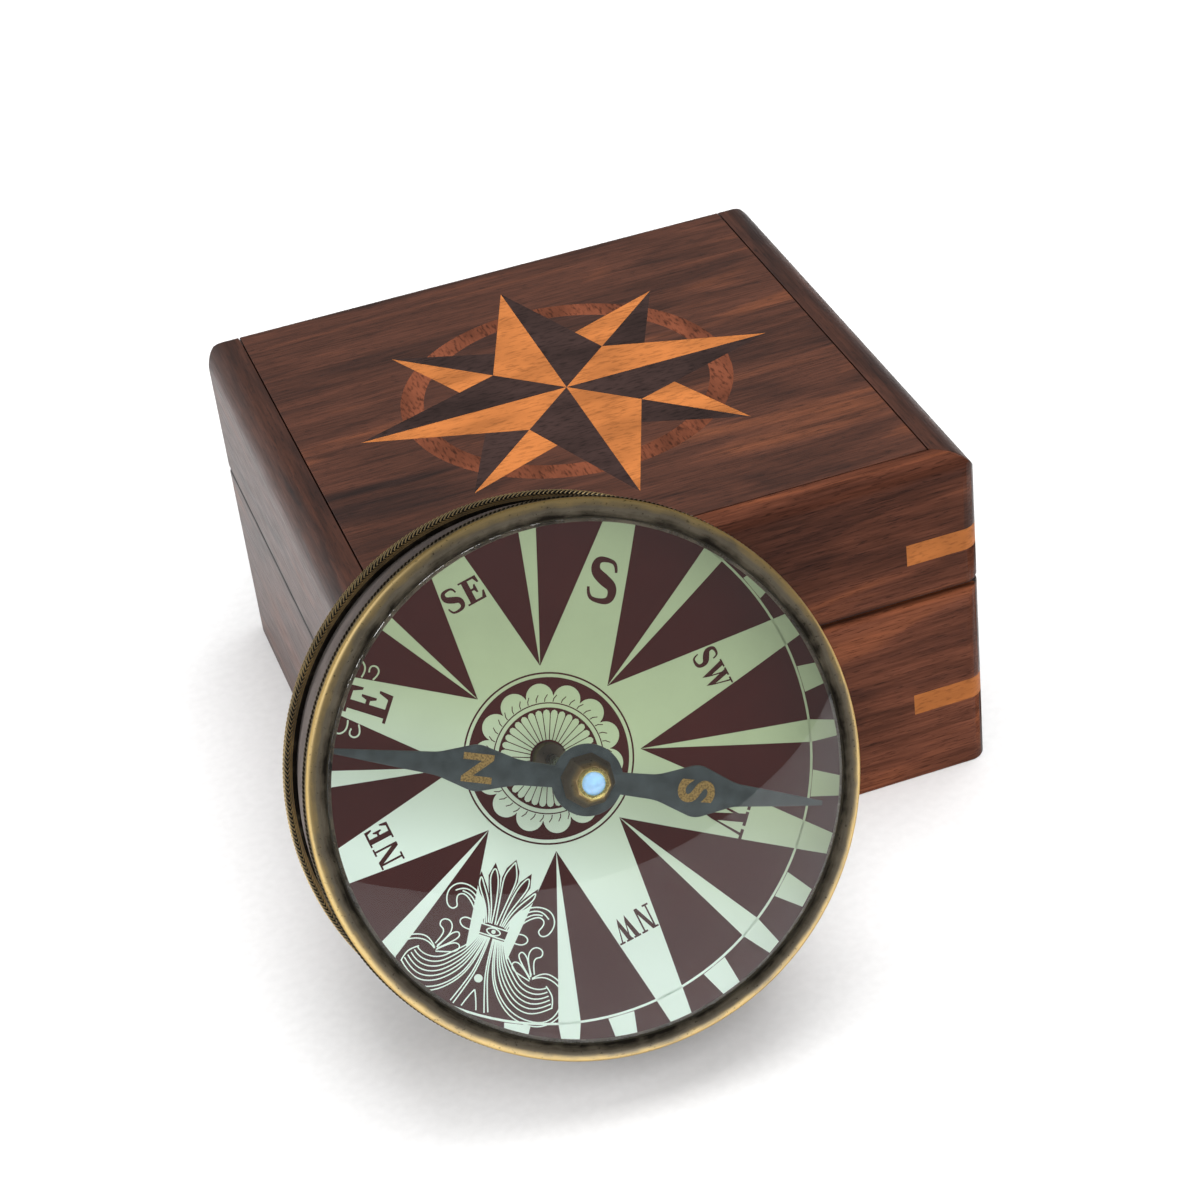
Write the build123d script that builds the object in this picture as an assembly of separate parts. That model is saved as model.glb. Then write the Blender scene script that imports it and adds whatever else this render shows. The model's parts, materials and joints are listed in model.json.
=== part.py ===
from build123d import *
from math import cos, radians, sin, tan
import os

# Wooden box with a hinged lid, and a round brass compass that leans on the lid's front edge.
# Millimetres, +Z up, front of the box towards -Y, origin at the middle of the box's underside.

# Box, outside
box_width = 100.0
box_depth = 94.0
box_height = 58.5
seam_height = 34.6
lid_gap = 0.4
upright_corner_radius = 3.0
side_top_radius = 4.7
front_top_radius = 2.5
back_top_radius = 2.0
finger_groove_radius = 1.6
lid_rim_radius = 0.5

# Box, walls and panels
side_wall = 7.4
front_wall = 5.6
back_wall = 5.6
panel_ledge = 1.2
top_panel_thickness = 4.5
bottom_panel_thickness = 4.0
pad_thickness = 1.5
pad_clearance = 0.3

# Maple keys across the two mitred front corners
key_length = 12.6
key_thickness = 3.8
base_key_height = 14.6
lid_key_height = 43.4

# Star inlay in the top panel
star_centre_x = 0.5
star_centre_y = 2.4
star_cardinal_radius = 34.7
star_diagonal_radius = 32.4
star_waist_radius = 13.4
star_root_share = 0.74
star_ring_outer_radius = 27.0
star_ring_inner_radius = 23.2
inlay_depth = 1.0

# Butt hinges and the bevels that stop the lid
lid_open_angle = 100.0
stop_margin = 5.0
hinge_inset = 1.0
hinge_spacing = 56.0
hinge_length = 20.0
hinge_middle_length = 7.0
hinge_side_clearance = 0.15
knuckle_radius = 1.5
knuckle_clearance = 0.25
hinge_leaf_thickness = 0.8
hinge_leaf_width = 4.2
hinge_pin_radius = 0.6
pin_press_clearance = 0.02
pin_running_clearance = 0.05
hinge_screw_spacing = 13.0
hinge_screw_inset = 1.4
screw_head_radius = 0.9
screw_head_height = 0.5
screw_shank_radius = 0.45
screw_length = 4.5
screw_clearance = 0.02

# Closing magnets in the front walls
magnet_radius = 1.5
magnet_thickness = 2.0
magnet_spacing = 60.0
magnet_depth = 0.1
magnet_clearance = 0.05

# Compass, place and lean
compass_side_offset = -25.6
compass_lean = 28.7
compass_turn = -1.2
lean_clearance = 0.3
rim_edge_radius = 0.4

# Compass case, heights above its back
barrel_radius = 39.0
barrel_wall = 2.0
barrel_top = 21.2
neck_depth = 0.8
neck_height = 10.0
neck_slope_height = 1.6
flange_overhang = 1.05
flange_height = 2.8
flange_groove = 0.4
back_plate_thickness = 1.2
back_plate_clearance = 0.02
spigot_wall = 0.9
spigot_height = 1.8
spigot_clearance = 0.05

# Bezel
bezel_overhang = 0.9
bezel_lip_width = 2.7
bezel_lip_height = 0.7
bezel_lip_drop = 0.1
bezel_edge_radius = 0.8
bezel_mill_height = 1.0
bezel_mill_step = 0.3
bezel_spigot_height = 1.7

# Lens and its seat
lens_seat_rise = 3.0
lens_edge_thickness = 0.5
lens_dome_height = 11.65
gasket_width = 0.5
gasket_height = 0.45

# Dial and pivot
dial_plate_thickness = 1.0
dial_card_thickness = 0.3
dial_clearance = 0.1
snap_ring_width = 0.6
snap_ring_height = 0.6
pivot_base_radius = 1.9
pivot_base_height = 1.5
pivot_pin_radius = 0.7
pivot_foot_clearance = 0.02

# Needle
needle_turn = 68.3
needle_drop = 4.4
needle_thickness = 0.4
needle_hub_radius = 4.6
needle_north_gap = 1.35
needle_south_gap = 2.95
needle_neck_half_width = 1.2
needle_waist_distance = 9.0
needle_waist_half_width = 1.6
needle_leaf_distance = 14.4
needle_north_half_width = 3.1
needle_south_half_width = 3.5
needle_shoulder_distance = 19.5
needle_shoulder_half_width = 1.5
needle_tip_half_width = 0.3
needle_leaf_radius = 3.0
needle_blend_radius = 6.0
cup_clearance = 0.05
cup_depth = 2.7
cap_radius = 3.6
cap_height = 3.0
cap_sides = 8
cap_taper = 22.0
jewel_radius = 1.55
jewel_height = 0.45
jewel_sink = 0.7
jewel_ring_width = 0.5
jewel_ring_rise = 0.25

# Worked-out places of the box
half_width = box_width / 2
half_depth = box_depth / 2
lid_bottom = seam_height + lid_gap
seam_middle = seam_height + lid_gap / 2
inner_x = half_width - side_wall
inner_front_y = -half_depth + front_wall
inner_back_y = half_depth - back_wall
panel_x = inner_x + panel_ledge
top_panel_bottom = box_height - top_panel_thickness
hinge_y = half_depth - hinge_inset
stop_bevel_slope = tan(radians((lid_open_angle + stop_margin) / 2))
bevel_height = hinge_inset * stop_bevel_slope
bevel_start = hinge_y + lid_gap / 2 / stop_bevel_slope

# Worked-out radii and heights of the compass
barrel_bore_radius = barrel_radius - barrel_wall
neck_radius = barrel_radius - neck_depth
flange_radius = barrel_radius + flange_overhang
bezel_radius = barrel_radius + bezel_overhang
bezel_lip_radius = bezel_radius - bezel_lip_width
lens_radius = bezel_lip_radius - gasket_width
spigot_outer = barrel_bore_radius - spigot_clearance
spigot_inner = spigot_outer - spigot_wall
dial_radius = spigot_inner - dial_clearance
lens_seat = barrel_top + lens_seat_rise
bezel_top = lens_seat + bezel_lip_height
card_bottom = back_plate_thickness + dial_plate_thickness
card_top = card_bottom + dial_card_thickness
needle_height = lens_seat - needle_drop
needle_top = needle_height + needle_thickness
cap_top = needle_top + cap_height
cup_radius = pivot_pin_radius + cup_clearance
cup_top = needle_top + cup_depth
point_top = cup_top - cup_clearance
jewel_bottom = cap_top - jewel_sink
jewel_ring_radius = jewel_radius + jewel_ring_width


def block(low, high):
    """Solid box between two opposite corners."""
    size = [b - a for a, b in zip(low, high)]
    return Pos(*low) * Box(*size, align=(Align.MIN, Align.MIN, Align.MIN))


def prism(points, bottom, top):
    """Upright prism on a plan outline."""
    outline = make_face(Polyline(*points, close=True))
    return Pos(0, 0, bottom) * extrude(outline, top - bottom, dir=(0, 0, 1))


def disc(radius, bottom, top):
    """Upright cylinder on the Z axis between two heights."""
    bottom_middle = (Align.CENTER, Align.CENTER, Align.MIN)
    return Pos(0, 0, bottom) * Cylinder(radius, top - bottom, align=bottom_middle)


def rod(radius, x_start, x_end, y, z):
    """Cylinder along X between two places."""
    bottom_middle = (Align.CENTER, Align.CENTER, Align.MIN)
    return Pos(x_start, y, z) * Rot(0, 90, 0) * Cylinder(radius, x_end - x_start, align=bottom_middle)


def turned(points, radii):
    """Solid of revolution about Z from a closed outline of radius and height pairs."""
    outline = FilletPolyline(*points, radius=radii, close=True)
    return revolve(Plane.XZ * make_face(outline), Axis.Z)


def along_x(points, radii):
    """Full-width prism whose outline is given as Y and Z pairs."""
    outline = make_face(FilletPolyline(*points, radius=radii, close=True))
    return Pos(-half_width, 0, 0) * extrude(Plane.YZ * outline, box_width, dir=(1, 0, 0))


def mirrored_pair(piece):
    """The piece and its copy on the other side of the middle plane."""
    return [piece, mirror(piece, Plane.YZ)]


def group(pieces):
    """Separate solids kept together in one sub-part."""
    return Compound(children=[solid for piece in pieces for solid in piece.solids()])


def outer_form():
    """The closed box's outside: its plan, front view and side view, each with rounded corners."""
    plan_radii = [upright_corner_radius] * 4
    plan_points = [
        (-half_width, -half_depth),
        (half_width, -half_depth),
        (half_width, half_depth),
        (-half_width, half_depth),
    ]
    plan = extrude(make_face(FilletPolyline(*plan_points, radius=plan_radii, close=True)), box_height)
    front_points = [(-half_width, 0), (half_width, 0), (half_width, box_height), (-half_width, box_height)]
    front_radii = [0, 0, side_top_radius, side_top_radius]
    front_outline = make_face(FilletPolyline(*front_points, radius=front_radii, close=True))
    front = Pos(0, -half_depth, 0) * extrude(Plane.XZ * front_outline, box_depth, dir=(0, 1, 0))
    return plan & front


def base_form(form):
    """Outside of the base, with the finger groove's rounding in front and the stop bevel behind."""
    side_points = [
        (-half_depth, 0),
        (half_depth, 0),
        (half_depth, seam_middle - bevel_height),
        (bevel_start, seam_height),
        (-half_depth, seam_height),
    ]
    return form & along_x(side_points, [0, 0, 0, 0, finger_groove_radius])


def lid_form(form):
    """Outside of the lid, with the stop bevel behind."""
    side_points = [
        (-half_depth, lid_bottom),
        (bevel_start, lid_bottom),
        (half_depth, seam_middle + bevel_height),
        (half_depth, box_height),
        (-half_depth, box_height),
    ]
    return form & along_x(side_points, [lid_rim_radius, 0, 0, back_top_radius, front_top_radius])


def front_wall_plan():
    return [
        (-half_width, -half_depth),
        (half_width, -half_depth),
        (inner_x, inner_front_y),
        (-inner_x, inner_front_y),
    ]


def right_wall_plan():
    return [(half_width, -half_depth), (half_width, half_depth), (inner_x, half_depth), (inner_x, inner_front_y)]


def back_wall_plan():
    return [(-inner_x, inner_back_y), (inner_x, inner_back_y), (inner_x, half_depth), (-inner_x, half_depth)]


def wall(form, plan, cuts):
    """One wall: its plan within the box's outside, less what is let into it."""
    return (form & prism(plan, 0, box_height)) - cuts


def key_prism(height):
    """Triangular slot across the right front corner."""
    points = [
        (half_width, -half_depth),
        (half_width, -half_depth + key_length),
        (half_width - key_length, -half_depth),
    ]
    return prism(points, height - key_thickness / 2, height + key_thickness / 2)


def top_panel_block():
    low = (-panel_x, inner_front_y - panel_ledge, top_panel_bottom)
    return block(low, (panel_x, half_depth, box_height))


def bottom_panel_block():
    low = (-panel_x, inner_front_y - panel_ledge, 0)
    return block(low, (panel_x, inner_back_y + panel_ledge, bottom_panel_thickness))


def pad(bottom):
    """Cloth pad between the walls."""
    low = (-inner_x + pad_clearance, inner_front_y + pad_clearance, bottom)
    high = (inner_x - pad_clearance, inner_back_y - pad_clearance, bottom + pad_thickness)
    return block(low, high)


def star_point(radius, angle):
    """A point of the star's plan, by distance and angle anticlockwise from +X."""
    turn = radians(angle)
    return (star_centre_x + radius * cos(turn), star_centre_y + radius * sin(turn))


def inlay(points):
    return prism(points, box_height - inlay_depth, box_height)


def between(start, end, share):
    return tuple(a + share * (b - a) for a, b in zip(start, end))


def star_pieces():
    """Light and dark halves of the four cardinal and four diagonal points."""
    pieces = {"cardinal_light": [], "cardinal_dark": [], "diagonal_light": [], "diagonal_dark": []}
    centre = (star_centre_x, star_centre_y)
    for quarter in range(4):
        angle = 90 * quarter
        tip = star_point(star_cardinal_radius, angle)
        next_tip = star_point(star_cardinal_radius, angle + 90)
        diagonal_tip = star_point(star_diagonal_radius, angle + 45)
        waist = star_point(star_waist_radius, angle + 45)
        waist_before = star_point(star_waist_radius, angle - 45)
        root_after = between(next_tip, waist, star_root_share)
        root_before = between(tip, waist, star_root_share)
        pieces["cardinal_light"].append(inlay([centre, tip, waist]))
        pieces["cardinal_dark"].append(inlay([centre, waist_before, tip]))
        pieces["diagonal_light"].append(inlay([waist, diagonal_tip, root_after]))
        pieces["diagonal_dark"].append(inlay([waist, root_before, diagonal_tip]))
    return pieces


def star_ring(star):
    """Ring behind the star, cut into the arcs that show between its points."""
    bottom = box_height - inlay_depth
    ring = disc(star_ring_outer_radius, bottom, box_height) - disc(star_ring_inner_radius, bottom, box_height)
    ring = Pos(star_centre_x, star_centre_y, 0) * ring
    return group([ring - star])


def hinge_middles():
    return [-hinge_spacing / 2, hinge_spacing / 2]


def knuckle_spans(middle):
    """Start and end along X of a hinge's outer, middle and outer knuckles."""
    start = middle - hinge_length / 2
    end = middle + hinge_length / 2
    inner = hinge_middle_length / 2
    return [
        (start, middle - inner - hinge_side_clearance),
        (middle - inner, middle + inner),
        (middle + inner + hinge_side_clearance, end),
    ]


def hinge_leaf(middle, bottom, own, other):
    """Leaf plate with its own knuckles, cut back round the other leaf's knuckles."""
    start = middle - hinge_length / 2
    end = middle + hinge_length / 2
    low = (start, hinge_y - hinge_leaf_width, bottom)
    leaf = block(low, (end, hinge_y, bottom + hinge_leaf_thickness))
    spans = knuckle_spans(middle)
    for index in other:
        begin = spans[index][0] - hinge_side_clearance
        finish = spans[index][1] + hinge_side_clearance
        leaf -= rod(knuckle_radius + knuckle_clearance, begin, finish, hinge_y, seam_middle)
    for index in own:
        leaf += rod(knuckle_radius, spans[index][0], spans[index][1], hinge_y, seam_middle)
    return leaf


def hinge_mortise(middle, bottom):
    """Room for one leaf and for all the knuckles."""
    start = middle - hinge_length / 2 - hinge_side_clearance
    end = middle + hinge_length / 2 + hinge_side_clearance
    low = (middle - hinge_length / 2, hinge_y - hinge_leaf_width, bottom)
    leaf = block(low, (middle + hinge_length / 2, half_depth, bottom + hinge_leaf_thickness))
    return leaf + rod(knuckle_radius + knuckle_clearance, start, end, hinge_y, seam_middle)


def screw_places():
    places = []
    for middle in hinge_middles():
        for side in (-1, 1):
            x = middle + side * hinge_screw_spacing / 2
            places.append((x, hinge_y - hinge_leaf_width + hinge_screw_inset))
    return places


def screw(clearance):
    """Countersunk wood screw, head up, with the top of its head at height zero."""
    head_radius = screw_head_radius + clearance
    shank_radius = screw_shank_radius + clearance
    outline = [
        (0, 0),
        (head_radius, 0),
        (shank_radius, -screw_head_height),
        (shank_radius, -screw_length + screw_head_height),
        (0, -screw_length),
    ]
    return turned(outline, 0)


def base_screws(clearance):
    return [Pos(x, y, seam_height) * screw(clearance) for x, y in screw_places()]


def lid_screws(clearance):
    return [Pos(x, y, lid_bottom) * Rot(180, 0, 0) * screw(clearance) for x, y in screw_places()]


def magnet(face, inwards, clearance):
    """Disc magnets sunk below a mating face; inwards is +1 upwards or -1 downwards."""
    near = face + inwards * magnet_depth
    far = face + inwards * (magnet_depth + magnet_thickness)
    y = -half_depth + finger_groove_radius + (front_wall - finger_groove_radius) / 2
    one = Pos(magnet_spacing / 2, y, 0) * disc(magnet_radius + clearance, min(near, far), max(near, far))
    return mirrored_pair(one)


def magnet_pockets(face, inwards):
    """Bores that open at the mating face and hold the magnets."""
    pockets = magnet(face, inwards, magnet_clearance)
    return pockets + [Pos(0, 0, -inwards * magnet_depth) * pocket for pocket in pockets]


def box_base(form):
    """Nodes of the base: walls, bottom panel, keys, pad and closing magnets."""
    shell = base_form(form)
    keys = mirrored_pair(key_prism(base_key_height))
    mortises = [hinge_mortise(x, seam_height - hinge_leaf_thickness) for x in hinge_middles()]
    panel = bottom_panel_block()
    screws = base_screws(screw_clearance)
    pockets = magnet_pockets(seam_height, -1)
    return {
        "base_front_wall": wall(shell, front_wall_plan(), [panel] + keys + pockets),
        "base_right_wall": wall(shell, right_wall_plan(), [panel] + keys),
        "base_left_wall": mirror(wall(shell, right_wall_plan(), [panel] + keys), Plane.YZ),
        "base_back_wall": wall(shell, back_wall_plan(), [panel] + mortises + screws),
        "base_bottom_panel": panel,
        "base_corner_keys": group([shell & key for key in keys]),
        "base_pad": pad(bottom_panel_thickness),
        "base_magnets": group(magnet(seam_height, -1, 0)),
    }


def box_lid(form):
    """Nodes of the lid: walls, top panel with its inlay, keys, pad and closing magnets."""
    shell = lid_form(form)
    keys = mirrored_pair(key_prism(lid_key_height))
    mortises = [hinge_mortise(x, lid_bottom) for x in hinge_middles()]
    panel = top_panel_block()
    screws = lid_screws(screw_clearance)
    pockets = magnet_pockets(lid_bottom, 1)
    star = star_pieces()
    every_point = [piece for pieces in star.values() for piece in pieces]
    ring = star_ring(every_point)
    nodes = {
        "lid_front_wall": wall(shell, front_wall_plan(), [panel] + keys + pockets),
        "lid_right_wall": wall(shell, right_wall_plan(), [panel] + keys),
        "lid_left_wall": mirror(wall(shell, right_wall_plan(), [panel] + keys), Plane.YZ),
        "lid_back_wall": wall(shell, back_wall_plan(), [panel] + mortises + screws),
        "lid_top_panel": (shell & panel) - every_point - ring.solids(),
        "lid_corner_keys": group([shell & key for key in keys]),
        "lid_pad": pad(top_panel_bottom - pad_thickness),
        "lid_magnets": group(magnet(lid_bottom, 1, 0)),
        "star_ring": ring,
    }
    for name, pieces in star.items():
        nodes["star_" + name] = group(pieces)
    return nodes


def hinges():
    """Nodes of the two butt hinges: leaves, pins and screws."""
    base_leaves = []
    lid_leaves = []
    pins = []
    for middle in hinge_middles():
        start = middle - hinge_length / 2
        end = middle + hinge_length / 2
        press = rod(hinge_pin_radius + pin_press_clearance, start, end, hinge_y, seam_middle)
        running = rod(hinge_pin_radius + pin_running_clearance, start, end, hinge_y, seam_middle)
        base_leaf = hinge_leaf(middle, seam_height - hinge_leaf_thickness, (0, 2), (1,))
        lid_leaf = hinge_leaf(middle, lid_bottom, (1,), (0, 2))
        base_leaves.append(base_leaf - press - base_screws(screw_clearance))
        lid_leaves.append(lid_leaf - running - lid_screws(screw_clearance))
        pins.append(rod(hinge_pin_radius, start, end, hinge_y, seam_middle))
    return {
        "base_hinge_leaves": group(base_leaves),
        "lid_hinge_leaves": group(lid_leaves),
        "hinge_pins": group(pins),
        "base_hinge_screws": group(base_screws(0)),
        "lid_hinge_screws": group(lid_screws(0)),
    }


def compass_plane():
    """Plane of the case's back: the rim's lowest point on the table, the back against the lid's edge."""
    lean = radians(compass_lean)
    turn = radians(compass_turn)
    facing = Vector(sin(turn) * cos(lean), -cos(turn) * cos(lean), sin(lean))
    uphill = (Vector(0, 0, 1) - facing * facing.Z).normalized()
    height = (flange_radius - rim_edge_radius) * uphill.Z + rim_edge_radius * (1 - facing.Z)
    edge = Vector(-half_width + side_top_radius, -half_depth + front_top_radius, box_height - front_top_radius)
    reach = facing.X * (edge.X - compass_side_offset) + facing.Z * (edge.Z - height)
    depth = edge.Y + (reach + front_top_radius + lean_clearance) / facing.Y
    return Plane((compass_side_offset, depth, height), x_dir=uphill.cross(facing), z_dir=facing)


def base_ring():
    """Foot ring of the case: its back flange with the milling's groove, and a spigot for the barrel."""
    spigot_top = flange_height + spigot_height
    groove_middle = flange_height / 2
    outline = [
        (spigot_inner, 0),
        (flange_radius, 0),
        (flange_radius, groove_middle - flange_groove),
        (flange_radius - flange_groove, groove_middle),
        (flange_radius, groove_middle + flange_groove),
        (flange_radius, flange_height),
        (spigot_outer, flange_height),
        (spigot_outer, spigot_top),
        (spigot_inner, spigot_top),
    ]
    return turned(outline, [0, rim_edge_radius, 0, 0, 0, rim_edge_radius, 0, 0, 0])


def barrel():
    """Side of the case, narrower at its neck."""
    outline = [
        (barrel_bore_radius, flange_height),
        (neck_radius, flange_height),
        (neck_radius, neck_height - neck_slope_height),
        (barrel_radius, neck_height),
        (barrel_radius, barrel_top),
        (barrel_bore_radius, barrel_top),
    ]
    return turned(outline, 0)


def bezel():
    """Ring that holds the lens, with a milled lower edge's plain body and a rounded outer corner."""
    outline = [
        (spigot_outer, barrel_top),
        (bezel_radius, barrel_top),
        (bezel_radius, barrel_top + bezel_mill_height),
        (bezel_radius - bezel_mill_step, barrel_top + bezel_mill_height + bezel_mill_step),
        (bezel_radius - bezel_mill_step, bezel_top),
        (bezel_lip_radius, bezel_top - bezel_lip_drop),
        (bezel_lip_radius, lens_seat),
        (spigot_inner, lens_seat),
        (spigot_inner, barrel_top - bezel_spigot_height),
        (spigot_outer, barrel_top - bezel_spigot_height),
    ]
    return turned(outline, [0, 0, 0, 0, bezel_edge_radius, 0, 0, 0, 0, 0])


def dome_lens():
    """Plano-convex glass with its flat side down."""
    edge_top = lens_seat + lens_edge_thickness
    apex = edge_top + lens_dome_height
    dome_radius = (lens_radius**2 + lens_dome_height**2) / (2 * lens_dome_height)
    return disc(lens_radius, lens_seat, apex) & Pos(0, 0, apex - dome_radius) * Sphere(dome_radius)


def ring_between(outer, inner, bottom, top):
    return disc(outer, bottom, top) - disc(inner, bottom, top)


def needle_arm(sign, length, leaf_half_width):
    """Leaf-shaped arm from the hub's middle out to its tip; sign is 1 for north, -1 for south."""
    right = [
        (needle_neck_half_width, 0),
        (needle_waist_half_width, sign * needle_waist_distance),
        (leaf_half_width, sign * needle_leaf_distance),
        (needle_shoulder_half_width, sign * needle_shoulder_distance),
        (needle_tip_half_width, sign * length),
    ]
    left = [(-x, y) for x, y in reversed(right)]
    right_radii = [0, needle_blend_radius, needle_leaf_radius, needle_blend_radius, 0]
    outline = FilletPolyline(*(right + left), radius=right_radii + right_radii[::-1], close=True)
    arm = extrude(make_face(outline), needle_thickness, dir=(0, 0, 1))
    return Pos(0, 0, needle_height) * arm


def needle_blade():
    """Steel needle with a round hub, turned on the dial as it came to rest."""
    blade = disc(needle_hub_radius, needle_height, needle_top)
    blade += needle_arm(1, dial_radius - needle_north_gap, needle_north_half_width)
    blade += needle_arm(-1, dial_radius - needle_south_gap, needle_south_half_width)
    blade -= pivot_cup()
    return Rot(0, 0, needle_turn) * blade


def pivot_cup():
    """Hollow over the pivot's point, through the needle and the cap and into the jewel."""
    outline = [(0, needle_height), (cup_radius, needle_height), (cup_radius, needle_top), (0, cup_top)]
    return turned(outline, 0)


def needle_cap():
    """Faceted brass cap, bored for the jewel and its ring."""
    cap = extrude(RegularPolygon(cap_radius, cap_sides), cap_height, taper=cap_taper)
    cap = Pos(0, 0, needle_top) * cap
    cap -= pivot_cup()
    cap -= disc(jewel_ring_radius, jewel_bottom, cap_top)
    return Rot(0, 0, needle_turn) * cap


def needle_jewel():
    """Pale glass bearing stone with a slightly domed top."""
    top = cap_top + jewel_height
    dome_radius = (jewel_radius**2 + jewel_height**2) / (2 * jewel_height)
    stone = disc(jewel_radius, jewel_bottom, top) & Pos(0, 0, top - dome_radius) * Sphere(dome_radius)
    return stone - pivot_cup()


def pivot_pin():
    """Steel pin with a conical point."""
    outline = [
        (0, back_plate_thickness),
        (pivot_pin_radius, back_plate_thickness),
        (pivot_pin_radius, point_top - cup_depth),
        (0, point_top),
    ]
    return turned(outline, 0)


def compass():
    """Nodes of the compass, built upright and then leaned on the box."""
    pin_hole = disc(pivot_pin_radius + pivot_foot_clearance, back_plate_thickness, point_top)
    snap_inner = dial_radius - snap_ring_width
    jewel_ring_top = cap_top + jewel_ring_rise
    nodes = {
        "compass_back_plate": disc(spigot_inner - back_plate_clearance, 0, back_plate_thickness),
        "compass_base_ring": base_ring(),
        "compass_barrel": barrel(),
        "compass_bezel": bezel(),
        "compass_lens": dome_lens(),
        "lens_gasket": ring_between(bezel_lip_radius, lens_radius, lens_seat, lens_seat + gasket_height),
        "dial_plate": disc(dial_radius, back_plate_thickness, card_bottom) - pin_hole,
        "dial_card": disc(dial_radius, card_bottom, card_top) - pin_hole,
        "dial_snap_ring": ring_between(dial_radius, snap_inner, card_top, card_top + snap_ring_height),
        "pivot_base": disc(pivot_base_radius, card_top, card_top + pivot_base_height) - pin_hole,
        "pivot_pin": pivot_pin(),
        "needle_blade": needle_blade(),
        "needle_cap": needle_cap(),
        "jewel_ring": ring_between(jewel_ring_radius, jewel_radius, jewel_bottom, jewel_ring_top),
        "needle_jewel": needle_jewel(),
    }
    place = compass_plane().location
    return {name: place * node for name, node in nodes.items()}


def main():
    os.makedirs("parts", exist_ok=True)
    form = outer_form()
    nodes = box_base(form) | box_lid(form) | hinges() | compass()
    for name, node in nodes.items():
        export_step(node, "parts/" + name + ".step")
    plane = compass_plane()
    print("nodes", len(nodes))
    print("hinge axis at y", hinge_y, "z", seam_middle)
    print("compass back centre", tuple(plane.origin), "axis", tuple(plane.z_dir))


main()
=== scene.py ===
"""Looks of a small desk compass and its inlaid wooden box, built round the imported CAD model."""

import json
import math

import bmesh
import bpy
from mathutils import Matrix, Vector


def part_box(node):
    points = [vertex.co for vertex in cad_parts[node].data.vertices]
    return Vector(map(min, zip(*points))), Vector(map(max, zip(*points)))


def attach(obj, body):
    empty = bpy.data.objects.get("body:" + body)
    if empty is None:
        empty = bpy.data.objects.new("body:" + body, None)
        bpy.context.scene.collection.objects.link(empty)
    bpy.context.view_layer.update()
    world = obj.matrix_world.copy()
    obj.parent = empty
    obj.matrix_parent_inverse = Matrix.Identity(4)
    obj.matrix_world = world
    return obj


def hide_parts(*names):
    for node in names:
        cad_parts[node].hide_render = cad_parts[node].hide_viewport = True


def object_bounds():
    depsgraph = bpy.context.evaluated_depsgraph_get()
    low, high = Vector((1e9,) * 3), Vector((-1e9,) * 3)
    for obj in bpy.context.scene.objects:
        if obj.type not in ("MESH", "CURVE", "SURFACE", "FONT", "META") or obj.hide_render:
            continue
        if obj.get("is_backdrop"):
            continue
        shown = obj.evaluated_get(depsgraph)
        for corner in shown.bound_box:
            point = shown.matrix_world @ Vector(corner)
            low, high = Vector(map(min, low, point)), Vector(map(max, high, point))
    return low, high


bl_info = {
    "name": "Compass Box Looks",
    "version": (1, 0, 0),
    "blender": (4, 5, 0),
    "location": "3D View > Sidebar > Compass Box",
    "description": "Builds the looks of a desk compass and its inlaid box round their CAD model",
    "category": "Object",
}

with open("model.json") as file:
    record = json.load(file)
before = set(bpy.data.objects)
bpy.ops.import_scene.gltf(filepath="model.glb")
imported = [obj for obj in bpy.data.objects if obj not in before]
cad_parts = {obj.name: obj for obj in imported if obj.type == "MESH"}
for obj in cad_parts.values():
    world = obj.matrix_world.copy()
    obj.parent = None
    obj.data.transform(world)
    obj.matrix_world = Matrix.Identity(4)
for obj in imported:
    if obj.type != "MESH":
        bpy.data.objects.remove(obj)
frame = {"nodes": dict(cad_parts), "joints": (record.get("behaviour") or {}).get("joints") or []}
MM = 0.001
TURN = 2 * math.pi


# Measuring the frame


def swing_place():
    """Where the compass sits: x to its right, y up its face, z out of its glass, from its back."""
    swing = next(joint for joint in frame["joints"] if joint["name"] == "needle_swing")
    out = Vector(swing["axis"]).normalized()
    up = (Vector((0, 0, 1)) - out * out.z).normalized()
    right = up.cross(out)
    pivot = Vector(swing["pos_m"])
    back = frame["nodes"]["compass_back_plate"].data.vertices
    depth = min((vertex.co - pivot).dot(out) for vertex in back)
    turn = Matrix((right, up, out)).transposed().to_4x4()
    return Matrix.Translation(pivot + out * depth) @ turn


CASE = swing_place()
CASE_MM = CASE @ Matrix.Scale(MM, 4)


def reach(node):
    """Inner radius, outer radius, low and high of a compass node, in mm on the compass's axis."""
    inverse = CASE_MM.inverted()
    points = [inverse @ vertex.co for vertex in frame["nodes"][node].data.vertices]
    radii = [math.hypot(point.x, point.y) for point in points]
    heights = [point.z for point in points]
    return min(radii), max(radii), min(heights), max(heights)


# Colours and nodes


def linear(colour):
    """Turns an sRGB hex colour into the linear values that a shader takes."""
    parts = [int(colour[i : i + 2], 16) / 255 for i in (1, 3, 5)]
    return [part / 12.92 if part <= 0.04045 else ((part + 0.055) / 1.055) ** 2.4 for part in parts]


def colour_setting(name, description, code):
    """A colour that a user can change, with its sRGB hex value as the default."""
    return bpy.props.FloatVectorProperty(
        name=name, description=description, default=linear(code), subtype="COLOR"
    )


def solid(colour, share=1.0):
    """A colour property as four values, lightened or darkened by a share."""
    return [part * share for part in colour[:3]] + [1.0]


def grey(level):
    """A grey as four values."""
    return [level, level, level, 1.0]


def feed(socket, value):
    """Sets a socket to a value, or links it to an output or to the first output of a node."""
    if isinstance(value, bpy.types.Node):
        value = value.outputs[0]
    if isinstance(value, bpy.types.NodeSocket):
        socket.id_data.links.new(value, socket)
    else:
        socket.default_value = value


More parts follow.
